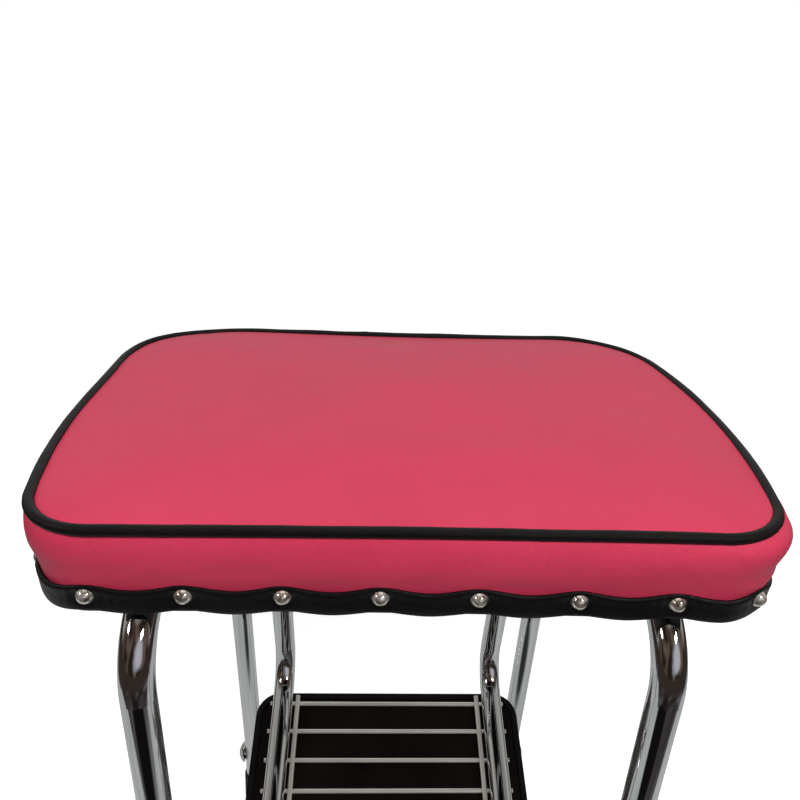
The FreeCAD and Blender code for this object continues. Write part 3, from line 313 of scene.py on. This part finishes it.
def seat_arcs(front_corner, wider=0.0, shift=(0.0, 0.0), turn=0.0):
    """Eight tangent arcs, as in the CAD; each (cx, cy, radius, start, end, 1 or -1 if hollow)."""
    hw = HW + wider
    r_side = (HD * HD + BOW * BOW) / (2.0 * BOW)
    cx = hw + BOW - r_side

    def corner(bw, sg, rc):
        r_end = (hw * hw + bw * bw) / (2.0 * bw)
        cy = sg * (HD - bw + r_end)
        d1, d2 = r_side - rc, r_end + rc
        dx, dy = -cx, cy
        dist = math.hypot(dx, dy)
        along = (d1 * d1 - d2 * d2 + dist * dist) / (2.0 * dist)
        off = math.sqrt(d1 * d1 - along * along)
        ux, uy = dx / dist, dy / dist
        px, py = max((cx + along * ux - off * uy * k, along * uy + off * ux * k) for k in (1.0, -1.0))
        return cy, r_end, rc, px, py, math.atan2(py, px - cx), math.atan2(py - cy, px)

    fc, rr, rl = corner(FB, -1.0, front_corner), corner(RB, 1.0, RR), corner(RB, 1.0, RL)
    pi = math.pi
    out = [(cx, 0.0, r_side, fc[5], rr[5], 1), (rr[3], rr[4], rr[2], rr[5], rr[6] + pi, 1),
           (0.0, rr[0], rr[1], rr[6], -pi - rl[6], -1), (-rl[3], rl[4], rl[2], -rl[6], pi - rl[5], 1),
           (-cx, 0.0, r_side, pi - rl[5], pi - fc[5], 1), (-fc[3], fc[4], fc[2], pi - fc[5], 2 * pi - fc[6], 1),
           (0.0, fc[0], fc[1], pi - fc[6], fc[6], -1), (fc[3], fc[4], fc[2], fc[6] - pi, fc[5], 1)]
    ct, st = math.cos(turn), math.sin(turn)
    return [(ct * x - st * y + shift[0], st * x + ct * y + shift[1], r, a0 + turn, a1 + turn, sg)
            for (x, y, r, a0, a1, sg) in out]


class Outline:
    def __init__(self, arcs):
        self.arcs = arcs
        self.runs = [abs(a1 - a0) * r for (_, _, r, a0, a1, _) in arcs]
        self.total = sum(self.runs)

    def at(self, s):
        """Point and outward normal, s mm round the line anticlockwise."""
        s = s % self.total
        for (x, y, r, a0, a1, sg), length in zip(self.arcs, self.runs):
            if s <= length:
                a = a0 + (a1 - a0) * s / length
                ux, uy = math.cos(a), math.sin(a)
                return x + r * ux, y + r * uy, sg * ux, sg * uy
            s -= length
        return self.at(0.0)

    def nearest(self, x, y):
        n = 2800
        pts = [self.at(i * self.total / n) for i in range(n)]
        best = min(range(n), key=lambda i: (pts[i][0] - x) ** 2 + (pts[i][1] - y) ** 2)
        return best * self.total / n

    def inside(self, x, y):
        """How far inside the line a point lies (negative outside)."""
        best = 1e9
        for (cx, cy, r, a0, a1, sg) in self.arcs:
            a = math.atan2(y - cy, x - cx)
            lo, hi = min(a0, a1), max(a0, a1)
            for k in (-2 * math.pi, 0.0, 2 * math.pi):
                if lo - 1e-6 <= a + k <= hi + 1e-6:
                    d = sg * (r - math.hypot(x - cx, y - cy))
                    if abs(d) < abs(best):
                        best = d
        return best if best < 1e8 else 60.0


def corner_shift(x, y):
    """The rear left corner of the piping line stands out a little, as sewn (mm)."""
    d = 7.2 * math.exp(-((x + 210.0) ** 2 + (y - 90.0) ** 2) / 41.0 ** 2)
    e = -5.5 * math.exp(-((x + 166.0) ** 2 + (y - 146.0) ** 2) / 27.0 ** 2)
    return -0.93 * d - 0.62 * e, 0.37 * d + 0.78 * e


TOP = Outline(seat_arcs(RF))                                                     # piping line
BASE = Outline(seat_arcs(37.0, 2.5, (2.05, 0.95), math.radians(-0.47)))          # board and band
TOTAL = BASE.total


def make(name, verts, faces, mat, smooth=True):
    me = bpy.data.meshes.new(name)
    me.from_pydata([tuple(v) for v in verts], [], faces)
    me.validate()
    me.materials.append(mat)
    if smooth:
        me.polygons.foreach_set("use_smooth", [True] * len(me.polygons))
    ob = bpy.data.objects.new(name, me)
    scene.collection.objects.link(ob)
    return ob


def outward(ob):
    bm = bmesh.new()
    bm.from_mesh(ob.data)
    bmesh.ops.recalc_face_normals(bm, faces=bm.faces)
    bm.to_mesh(ob.data)
    bm.free()


def apply_mods(ob):
    dg = bpy.context.evaluated_depsgraph_get()
    me = bpy.data.meshes.new_from_object(ob.evaluated_get(dg))
    old = ob.data
    ob.modifiers.clear()
    ob.data = me
    bpy.data.meshes.remove(old)


# ------------------------------------------------------------------ nails, read from the frame
bm = bmesh.new()
bm.from_mesh(nodes["trim_nails"].data)
seen, nail_xy = set(), []
for v in bm.verts:
    if v.index in seen:
        continue
    stack, part = [v], []
    while stack:
        w = stack.pop()
        if w.index in seen:
            continue
        seen.add(w.index)
        part.append(w.co.copy())
        stack.extend(e.other_vert(w) for e in w.link_edges)
    if len(part) > 12:
        c = sum(part, Vector()) / len(part)
        nail_xy.append((c.x, c.y, c.z))
bm.free()
NAILS = sorted(BASE.nearest(x / MM, (y - YC) / MM) for x, y, z in nail_xy)
merged = []
for s in NAILS:
    if not merged or s - merged[-1] > 8.0:
        merged.append(s)
NAILS = merged
NAIL_Z = 557.35


def nail_phase(s):
    """Distance to the nearest nail and the local pitch."""
    s = s % TOTAL
    best, gap = 1e9, 52.0
    for i, q in enumerate(NAILS):
        for k in (-TOTAL, 0.0, TOTAL):
            d = s - q - k
            if abs(d) < abs(best):
                best = d
                nxt = NAILS[(i + 1) % len(NAILS)] if d > 0 else NAILS[i - 1]
                gap = abs(nxt - q)
                gap = min(gap, TOTAL - gap)
    return best, gap


# ------------------------------------------------------------------ cushion
def ring(line, offset, z, n, other=None, mix=0.0):
    """n points round a line at an offset; with another line, part of the way to it."""
    out = []
    for i in range(n):
        x, y, nx, ny = line.at(i * line.total / n)
        x, y = x + nx * offset, y + ny * offset
        if other is not None and mix > 0.0:
            x2, y2, mx, my = other.at(i * other.total / n)
            x += (x2 + mx * offset - x) * mix
            y += (y2 + my * offset - y) * mix
        out.append(Vector((x * MM, y * MM + YC, z * MM)))
    return out


def loft(rings, cap_bottom=True, cap_top=True):
    verts = [v for r in rings for v in r]
    n = len(rings[0])
    faces = []
    for k in range(len(rings) - 1):
        for i in range(n):
            j = (i + 1) % n
            faces.append((k * n + i, k * n + j, (k + 1) * n + j, (k + 1) * n + i))
    if cap_bottom:
        faces.append(tuple(reversed(range(n))))
    if cap_top:
        faces.append(tuple(range((len(rings) - 1) * n, len(rings) * n)))
    return verts, faces


def smoothstep(a, b, x):
    t = max(0.0, min(1.0, (x - a) / (b - a)))
    return t * t * (3 - 2 * t)


profile = [(553.0, -0.9, 1.0), (560.0, -0.7, 1.0), (565.5, 0.4, 1.0), (570.0, 1.6, 1.0), (578.0, 3.1, 1.0),
           (585.0, 4.1, 1.0), (590.5, 4.0, 1.0), (594.5, 2.9, 0.93), (597.5, 1.5, 0.7), (600.0, 0.1, 0.2),
           (601.2, -1.8, 0.0), (602.2, -4.8, 0.0), (602.8, -9.0, 0.0)]
verts, faces = loft([ring(TOP, o, z, 300, BASE, m) for z, o, m in profile])
cushion = make("cushion_pad", verts, faces, PINK)
outward(cushion)
rm = cushion.modifiers.new("even", "REMESH")
rm.mode = "VOXEL"
rm.voxel_size = 0.0052
apply_mods(cushion)
start = [v.co.copy() for v in cushion.data.vertices]


def edge_gap(co):
    """How far inside the piping line a point lies, in mm (negative outside)."""
    return TOP.inside(co.x / MM, (co.y - YC) / MM)


gaps = [edge_gap(c) for c in start]
pin = cushion.vertex_groups.new(name="pin")
for i, (c, g_) in enumerate(zip(start, gaps)):
    z = c.z / MM
    w = 0.0
    if z < 566.0:
        w = 1.0
    elif abs(z - 600.0) < 3.6 and -2.5 < g_ < 4.0:
        w = 1.0
    if w:
        pin.add([i], w, "REPLACE")
cm = cushion.modifiers.new("swell", "CLOTH")
st = cm.settings
st.quality = 5
st.mass = 0.25
st.tension_stiffness = 18.0
st.compression_stiffness = 18.0
st.shear_stiffness = 6.0
st.bending_stiffness = 0.6
st.tension_damping = 5.0
st.compression_damping = 5.0
st.vertex_group_mass = "pin"
st.use_pressure = True
st.uniform_pressure_force = 4.0
st.effector_weights.gravity = 0.0
cm.collision_settings.use_collision = False
cm.point_cache.frame_start = 1
cm.point_cache.frame_end = 20
scene.frame_start, scene.frame_end = 1, 20
for f in range(1, 21):
    scene.frame_set(f)
apply_mods(cushion)
cushion.vertex_groups.clear()
for v, c, g_ in zip(cushion.data.vertices, start, gaps):
    d = v.co - c
    top = c.z / MM > 600.5 and g_ > 0.0
    cap = (7.6 if top else 1.6) * MM
    if d.length > 1e-9:
        v.co = c + d.normalized() * cap * math.tanh(d.length / cap)
scene.frame_set(1)

# sewing and handling marks on the cover
for v, c, g_ in zip(cushion.data.vertices, start, gaps):
    z = c.z / MM
    x, y = v.co.x / MM, (v.co.y - YC) / MM
    if z > 600.5:
        soft = noise.noise(Vector((x / 62.0, y / 55.0, 3.1))) * 0.9 + noise.noise(Vector((x / 24.0, y / 21.0, 7.7))) * 0.25
        v.co.z += soft * MM * smoothstep(2.0, 40.0, g_)
    else:
        s = math.atan2(y, x) * 220.0
        # long drawn wrinkles low on the boxing, deeper towards the front right corner
        low = math.exp(-((z - 574.0) / 6.5) ** 2)
        n2 = noise.noise(Vector((s / 46.0, z / 9.0, 1.3))) * (0.55 + 0.5 * low) + noise.noise(Vector((s / 12.0, z / 26.0, 5.3))) * 0.22
        tuck = math.exp(-((x - 212.0) / 34.0) ** 2 - ((y + 118.0) / 34.0) ** 2) * math.exp(-((z - 576.0 + 0.05 * (x - 212.0)) / 3.6) ** 2)
        tuck += 0.6 * math.exp(-((x + 190.0) / 40.0) ** 2 - ((y + 140.0) / 40.0) ** 2) * math.exp(-((z - 574.0 - 0.04 * (x + 190.0)) / 4.0) ** 2)
        n2 -= 1.5 * tuck
        far_r = smoothstep(150.0, 206.0, x)
        n2 += far_r * (2.4 * math.exp(-((z - 566.0) / 5.0) ** 2) - 1.2 * math.exp(-((z - 574.5) / 3.5) ** 2))
        push = n2 * MM * smoothstep(562.0, 570.0, z) * (1 - smoothstep(590.0, 598.0, z))
        push += far_r * 2.7 * MM * math.exp(-((z - 594.0) / 8.0) ** 2) * (1 - smoothstep(598.0, 601.5, z))
        flat = Vector((x, y, 0.0)).normalized()
        v.co += flat * push
for v, c in zip(cushion.data.vertices, start):
    dx, dy = corner_shift(c.x / MM, (c.y - YC) / MM)
    w = smoothstep(572.0, 594.0, c.z / MM) * MM
    v.co.x += dx * w
    v.co.y += dy * w
cushion.data.polygons.foreach_set("use_smooth", [True] * len(cushion.data.polygons))
sm = cushion.modifiers.new("relax", "SMOOTH")
sm.factor = 0.5
sm.iterations = 2
sb = cushion.modifiers.new("fine", "SUBSURF")
sb.levels = 1
sb.render_levels = 1
apply_mods(cushion)
cushion.name = "cushion_cover"
cushion.data.name = "cushion_cover"
cushion.data.polygons.foreach_set("use_smooth", [True] * len(cushion.data.polygons))
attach(cushion, "frame")
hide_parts("seat_cushion")

# ------------------------------------------------------------------ piping
N = 900
R = 3.2
verts, faces = [], []
K = 14
LOOP = TOP.total
join_at = TOP.nearest(-26.0, HD - RB)
for i in range(N):
    s = i * LOOP / N
    x, y, nx, ny = TOP.at(s)
    dx, dy = corner_shift(x, y)
    x, y = x + dx, y + dy
    d = min(abs(s - join_at), LOOP - abs(s - join_at))
    wob = noise.noise(Vector((x / 34.0, y / 34.0, 2.0)))
    r = R * (1.0 + 0.035 * wob + 0.02 * noise.noise(Vector((x / 9.0, y / 9.0, 5.0))))
    if s - join_at > 0 and d < 7.0:
        r *= 1.07
    zz = 600.0 + 0.35 * wob
    for k in range(K):
        a = 2 * math.pi * k / K
        o, h = r * math.cos(a), r * math.sin(a)
        verts.append(Vector(((x + nx * o) * MM, (y + ny * o) * MM + YC, (zz + h) * MM)))
for i in range(N):
    j = (i + 1) % N
    for k in range(K):
        m = (k + 1) % K
        faces.append((i * K + k, j * K + k, j * K + m, i * K + m))
piping = make("piping_cord", verts, faces, PIPE)
outward(piping)
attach(piping, "frame")
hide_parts("seat_piping")

# ------------------------------------------------------------------ underside
# dust cloth, and the cover turned under and stapled
DUST = plastic("dust_cloth_black", (0.0045, 0.0045, 0.0048), (0.011, 0.011, 0.012), (0.75, 0.95), 900.0, 0.5, 0.0003, 0.2)
def under_ring(name, mat, steps, n=360):
    rings = []
    for off, z in steps:
        r_ = ring(BASE, off, z, n)
        for i, v in enumerate(r_):
            s_ = i * TOTAL / n
            v.z += 0.14 * noise.noise(Vector((s_ / 7.0, off / 9.0, 4.0))) * MM if off < -2 else 0.0
        rings.append(r_)
    verts, faces = loft(rings, cap_bottom=False, cap_top=False)
    ob = make(name, verts, faces, mat)
    outward(ob)
    sol = ob.modifiers.new("thick", "SOLIDIFY")
    sol.thickness = 0.0004
    sol.offset = 0.0
    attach(ob, "frame")
    return ob


under_ring("band_turned_under", BLACK, ((0.1, 547.0), (-1.6, 547.6), (-5.0, 548.7), (-12.0, 548.9), (-14.0, 549.15)))
under_ring("cover_turned_under", PINK, ((-13.0, 549.5), (-16.0, 549.35), (-27.0, 549.45), (-27.5, 549.8)))
verts, faces = loft([ring(BASE, -22.0, 549.1, 240), ring(BASE, -22.0, 549.45, 240)])
dust = make("dust_cloth", verts, faces, DUST, smooth=False)
outward(dust)
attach(dust, "frame")

# ------------------------------------------------------------------ trim band
sect = [(-1.3, 0.0), (-0.4, -0.25), (0.55, 0.15), (1.05, 0.8), (1.3, 2.0), (1.45, 4.5), (1.5, 7.5), (1.55, 10.5),
        (1.85, 12.8), (2.1, 14.4), (2.0, 15.6), (1.45, 16.5), (0.55, 16.7), (-0.3, 16.2), (-0.9, 14.5), (-1.3, 9.0), (-1.4, 4.0)]
M = 1100
verts, faces = [], []
K = len(sect)
for i in range(M):
    s = i * TOTAL / M
    x, y, nx, ny = BASE.at(s)
    d, gap = nail_phase(s)
    wave = 0.5 + 0.5 * math.cos(2 * math.pi * min(abs(d) / gap, 0.5))
    peak = math.exp(-(d / 7.5) ** 2)
    lift_top = -2.5 + 3.0 * wave + 0.5 * peak
    lift_low = -1.9 + 2.3 * wave + 0.4 * peak
    tug = noise.noise(Vector((s / 17.0, 0.3, 8.0)))
    for k, (o, h) in enumerate(sect):
        t = h / 16.7
        z = 546.7 + h + lift_low * (1 - t) + lift_top * t + 0.25 * tug * t
        press = math.exp(-((d / 6.5) ** 2 + ((z - NAIL_Z) / 6.5) ** 2))
        puff = 0.45 * (1 - wave) * math.sin(math.pi * min(max(t, 0.0), 1.0))
        fold = 0.22 * math.sin(d * 1.15) * math.exp(-(abs(d) - 9.0) ** 2 / 26.0) * t
        oo = o + (puff + fold - 1.35 * press if o > 0.3 else 0.0)
        verts.append(Vector(((x + nx * oo) * MM, (y + ny * oo) * MM + YC, z * MM)))
for i in range(M):
    j = (i + 1) % M
    for k in range(K):
        m = (k + 1) % K
        faces.append((i * K + k, j * K + k, j * K + m, i * K + m))
band = make("band_strip", verts, faces, BLACK)
outward(band)
sb = band.modifiers.new("fine", "SUBSURF")
sb.levels = 1
sb.render_levels = 1
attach(band, "frame")
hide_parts("trim_band")

# ------------------------------------------------------------------ nail heads
prof = [(0.0, 4.2), (1.0, 4.1), (2.0, 3.76), (3.0, 3.1), (3.8, 2.3), (4.4, 1.4), (4.75, 0.6), (5.0, 0.25), (5.05, 0.0), (4.8, -0.1),
        (1.0, -0.15), (0.9, -9.0), (0.0, -11.0)]
verts, faces = [], []
SEG = 36
for i, s in enumerate(NAILS):
    x, y, nx, ny = BASE.at(s)
    ax = Vector((nx, ny, 0.0))
    tilt = 0.05 * noise.noise(Vector((s / 3.0, 1.0, 2.0)))
    ax = (ax + Vector((-ny, nx, 0.0)) * tilt + Vector((0.0, 0.0, 0.05 * noise.noise(Vector((s / 3.0, 4.0, 2.0)))))).normalized()
    side = Vector((0.0, 0.0, 1.0)).cross(ax).normalized()
    upv = ax.cross(side)
    c = Vector((x + nx * 0.55, y + ny * 0.55, NAIL_Z))
    base = len(verts)
    rings_n = []
    for r, h in prof:
        if r == 0.0:
            rings_n.append([len(verts)])
            verts.append((c + ax * h) * MM + Vector((0.0, YC, 0.0)))
            continue
        row = []
        for k in range(SEG):
            a = 2 * math.pi * k / SEG
            rr_ = r * (1.0 + 0.012 * noise.noise(Vector((math.cos(a) * 1.3 + s, math.sin(a) * 1.3, r * 0.7))))
            hh_ = h + (0.10 * noise.noise(Vector((math.cos(a) * r * 0.8 + s, math.sin(a) * r * 0.8, 3.0))) if h > 0.3 else 0.0)
            row.append(len(verts))
            verts.append((c + side * (rr_ * math.cos(a)) + upv * (rr_ * math.sin(a)) + ax * hh_) * MM + Vector((0.0, YC, 0.0)))
        rings_n.append(row)
    for ra, rb in zip(rings_n, rings_n[1:]):
        for k in range(SEG):
            m = (k + 1) % SEG
            if len(ra) == 1:
                faces.append((ra[0], rb[k], rb[m]))
            elif len(rb) == 1:
                faces.append((ra[k], rb[0], ra[m]))
            else:
                faces.append((ra[k], rb[k], rb[m], ra[m]))
heads = make("nail_heads", verts, faces, NAIL)
outward(heads)
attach(heads, "frame")
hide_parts("trim_nails")

# ------------------------------------------------------------------ stage
# Pale floor. For glossy rays the floor glows with a painted reflection of a room
# instead of a blank sheet: a painted pale top under the stool with a painted shadow of the stool on it, and a painted
# darker front with one painted dark shape in the middle.
g = Graph("stage_pale")
co = g.coords()
lpath = g.nt.nodes.new("ShaderNodeLightPath")
pale = g.ramp(g.noise(co, 0.8, 2.0, 0.5), [(0.3, (0.80, 0.80, 0.80)), (0.7, (0.82, 0.82, 0.82))])
g.set(Base__Color=g.mix(lpath.outputs["Is Camera Ray"], (0.20, 0.20, 0.20), pale))
g.bsdf.inputs["Roughness"].default_value = 0.9
g.bsdf.inputs["Specular IOR Level"].default_value = 0.1
g.bsdf.inputs["Emission Color"].default_value = (1.0, 1.0, 1.0, 1.0)
sepf = g.add("ShaderNodeSeparateXYZ", Vector=co)
X, Y = sepf.outputs["X"], sepf.outputs["Y"]
away = g.math("SQRT", g.math("ADD", g.math("MULTIPLY", X, X), g.math("MULTIPLY", Y, Y)))
seen = g.math("MULTIPLY", lpath.outputs["Is Camera Ray"], g.span(away, 0.74, 0.88, 0.4, 3.5))
g.put(g.bsdf, "Emission Strength", g.math("ADD", seen, 0.03))
# painted reflection: for glossy rays the floor glows with a painted room in place of a blank sheet
painted_reflection = g.add("ShaderNodeEmission", Strength=1.0)
wob = g.math("MULTIPLY", g.math("SUBTRACT", g.noise(co, 3.0, 3.0, 0.6), 0.5), 0.10)
fx = g.math("ADD", g.math("ABSOLUTE", X), wob)
fy = g.math("ADD", Y, wob)
edge_y = g.math("SUBTRACT", fy, g.span(X, -0.455, -0.365, -0.15, 0.15))     # the top's front edge runs askew
# painted reflection of a pale top under the stool, its front edge askew
painted_top_mask = g.math("MULTIPLY", g.math("MULTIPLY", g.span(edge_y, 0.0, 1.0, -0.015, 0.015), g.span(fx, 1.0, 0.0, 0.95, 1.10)),
                  g.span(fy, 1.0, 0.0, 0.75, 0.95))
# painted shadow: the painted top turns dark under the stool, where the stool's shadow would fall
ux = g.math("DIVIDE", g.math("SUBTRACT", X, 0.06), 0.15)
uy = g.math("DIVIDE", g.math("ADD", Y, 0.055), 0.075)
ur = g.math("ADD", g.math("MULTIPLY", ux, ux), g.math("MULTIPLY", uy, uy))
shade = g.span(ur, 1.0, 0.0, 0.5, 1.7)
# colour of the painted pale top in the reflection
painted_top_col = g.ramp(g.noise(co, 5.0, 3.0, 0.6), [(0.3, (0.33, 0.355, 0.345)), (0.7, (0.50, 0.50, 0.49))])
# painted reflection of one dark shape in front of the stool
vx = g.math("DIVIDE", g.math("ADD", X, 0.08), 0.27)
vy = g.math("DIVIDE", g.math("ADD", Y, 0.60), 0.17)
vr = g.math("ADD", g.math("ADD", g.math("MULTIPLY", vx, vx), g.math("MULTIPLY", vy, vy)), g.math("MULTIPLY", wob, 4.0))
painted_dark_shape = g.span(vr, 1.0, 0.0, 0.75, 1.25)
# painted reflection of a dark room in front, turning dark brown further away
painted_front_col = g.ramp(g.noise(co, 1.5, 1.5, 0.5), [(0.38, (0.016, 0.012, 0.011)), (0.52, (0.050, 0.045, 0.044)), (0.66, (0.16, 0.155, 0.165))])
painted_front_col = g.mix(g.span(away, 0.0, 1.0, 0.95, 1.7), painted_front_col, (0.036, 0.026, 0.022))
painted_front_shape_col = g.mix(painted_dark_shape, painted_front_col, (0.006, 0.005, 0.005))
g.put(painted_reflection, "Color", g.mix(painted_top_mask, painted_front_shape_col, g.mix(shade, painted_top_col, (0.030, 0.030, 0.032))))
pick = g.nt.nodes.new("ShaderNodeMixShader")
g.nt.links.new(lpath.outputs["Is Glossy Ray"], pick.inputs[0])
g.nt.links.new(g.bsdf.outputs[0], pick.inputs[1])
g.nt.links.new(painted_reflection.outputs[0], pick.inputs[2])
g.nt.links.new(pick.outputs[0], g.out.inputs[0])
floor = make("stage_floor", [(-14, -14, 0), (14, -14, 0), (14, 14, 0), (-14, 14, 0)], [(0, 1, 2, 3)], g.mat, smooth=False)
floor.location.z = -0.0004

# ------------------------------------------------------------------ light
world = bpy.data.worlds.new("studio")
scene.world = world
world.use_nodes = True
nt = world.node_tree
nt.nodes.clear()
wout = nt.nodes.new("ShaderNodeOutputWorld")
bg_see = nt.nodes.new("ShaderNodeBackground")
bg_see.inputs[0].default_value = (1.0, 1.0, 1.0, 1.0)
bg_see.inputs[1].default_value = 1.0
bg_lit = nt.nodes.new("ShaderNodeBackground")
tc = nt.nodes.new("ShaderNodeTexCoord")
sep = nt.nodes.new("ShaderNodeSeparateXYZ")
nt.links.new(tc.outputs["Generated"], sep.inputs[0])


def wmath(op, a, b=0.0):
    n = nt.nodes.new("ShaderNodeMath")
    n.operation = op
    for i, v in ((0, a), (1, b)):
        if isinstance(v, bpy.types.NodeSocket):
            nt.links.new(v, n.inputs[i])
        else:
            n.inputs[i].default_value = v
    return n.outputs[0]


def wspan(v, a, b, lo=0.0, hi=1.0):
    n = nt.nodes.new("ShaderNodeMapRange")
    n.interpolation_type = "SMOOTHSTEP"
    nt.links.new(v, n.inputs["Value"])
    for k, x in (("From Min", a), ("From Max", b), ("To Min", lo), ("To Max", hi)):
        n.inputs[k].default_value = x
    return n.outputs[0]


def wmix(fac, a, b):
    n = nt.nodes.new("ShaderNodeMix")
    n.data_type = "RGBA"
    nt.links.new(fac, n.inputs[0])
    for i, v in ((6, a), (7, b)):
        if isinstance(v, bpy.types.NodeSocket):
            nt.links.new(v, n.inputs[i])
        else:
            n.inputs[i].default_value = (v[0], v[1], v[2], 1.0)
    return n.outputs[2]


wn = nt.nodes.new("ShaderNodeTexNoise")
nt.links.new(tc.outputs["Generated"], wn.inputs["Vector"])
wn.inputs["Scale"].default_value = 2.6
wn.inputs["Detail"].default_value = 4.0
wn.inputs["Roughness"].default_value = 0.62
wn3 = nt.nodes.new("ShaderNodeTexNoise")
nt.links.new(tc.outputs["Generated"], wn3.inputs["Vector"])
wn3.inputs["Scale"].default_value = 1.9
wn3.inputs["Detail"].default_value = 1.5
room = wmix(wspan(wn3.outputs[0], 0.38, 0.66), (0.020, 0.013, 0.010), (0.125, 0.088, 0.070))
side = wmix(wspan(wn.outputs[0], 0.35, 0.7), (0.27, 0.26, 0.24), (0.43, 0.42, 0.39))
wall = wmix(wspan(sep.outputs["Y"], 0.50, 0.80), side, (0.66, 0.66, 0.65))
back = wspan(sep.outputs["Y"], -0.22, 0.16)                      # paler walls beside and behind
over = wspan(sep.outputs["Z"], 0.80, 0.95)                       # ceiling
lit = wmath("MAXIMUM", back, over)
near = nt.nodes.new("ShaderNodeVectorMath")                        # one soft pale patch low in front
near.operation = "DOT_PRODUCT"
nt.links.new(tc.outputs["Generated"], near.inputs[0])
near.inputs[1].default_value = (0.150, -0.942, 0.300)
wn2 = nt.nodes.new("ShaderNodeTexNoise")
nt.links.new(tc.outputs["Generated"], wn2.inputs["Vector"])
wn2.inputs["Scale"].default_value = 3.2
wn2.inputs["Detail"].default_value = 1.0
near2 = nt.nodes.new("ShaderNodeVectorMath")                       # and one further right
near2.operation = "DOT_PRODUCT"
nt.links.new(tc.outputs["Generated"], near2.inputs[0])
near2.inputs[1].default_value = (0.46, -0.825, 0.33)
patch = wmath("MULTIPLY", wspan(near.outputs["Value"], 0.945, 0.998), wspan(wn2.outputs[0], 0.38, 0.60, 0.45, 1.0))
patch2 = wmath("MULTIPLY", wspan(near2.outputs["Value"], 0.90, 0.985), wspan(sep.outputs["Z"], 0.0, 0.16))
nt.links.new(wmix(patch2, wmix(patch, wmix(lit, room, wall), (0.30, 0.295, 0.345)), (0.46, 0.46, 0.50)), bg_lit.inputs[0])
lp = nt.nodes.new("ShaderNodeLightPath")
nt.links.new(wmath("SUBTRACT", 1.0, wmath("MULTIPLY", lp.outputs["Is Diffuse Ray"], 0.52)), bg_lit.inputs[1])
wm = nt.nodes.new("ShaderNodeMixShader")
nt.links.new(lp.outputs["Is Camera Ray"], wm.inputs[0])
nt.links.new(bg_lit.outputs[0], wm.inputs[1])
nt.links.new(bg_see.outputs[0], wm.inputs[2])
nt.links.new(wm.outputs[0], wout.inputs[0])


def area(name, loc, target, size, power, col=(1.0, 1.0, 1.0)):
    data = bpy.data.lights.new(name, "AREA")
    data.shape = "RECTANGLE"
    data.size, data.size_y = size
    data.energy = power
    data.color = col
    ob = bpy.data.objects.new(name, data)
    scene.collection.objects.link(ob)
    ob.location = loc
    ob.rotation_euler = (Vector(target) - Vector(loc)).to_track_quat("-Z", "Y").to_euler()
    return ob


soft = area("front_top", (0.05, -1.22, 1.80), (0.0, -0.05, 0.58), (0.8, 0.45), 24.5, (1.0, 0.99, 0.98))
soft.visible_glossy = False
area("key_right", (1.23, -1.44, 1.94), (0.0, -0.08, 0.58), (0.52, 0.30), 5.6, (1.0, 0.99, 0.97))
area("key_left", (-1.9, -0.95, 1.75), (0.0, -0.08, 0.58), (0.36, 0.30), 4.5, (0.98, 0.99, 1.0))
area("top", (0.0, 0.1, 2.6), (0.0, 0.0, 0.6), (2.0, 1.4), 5.0)
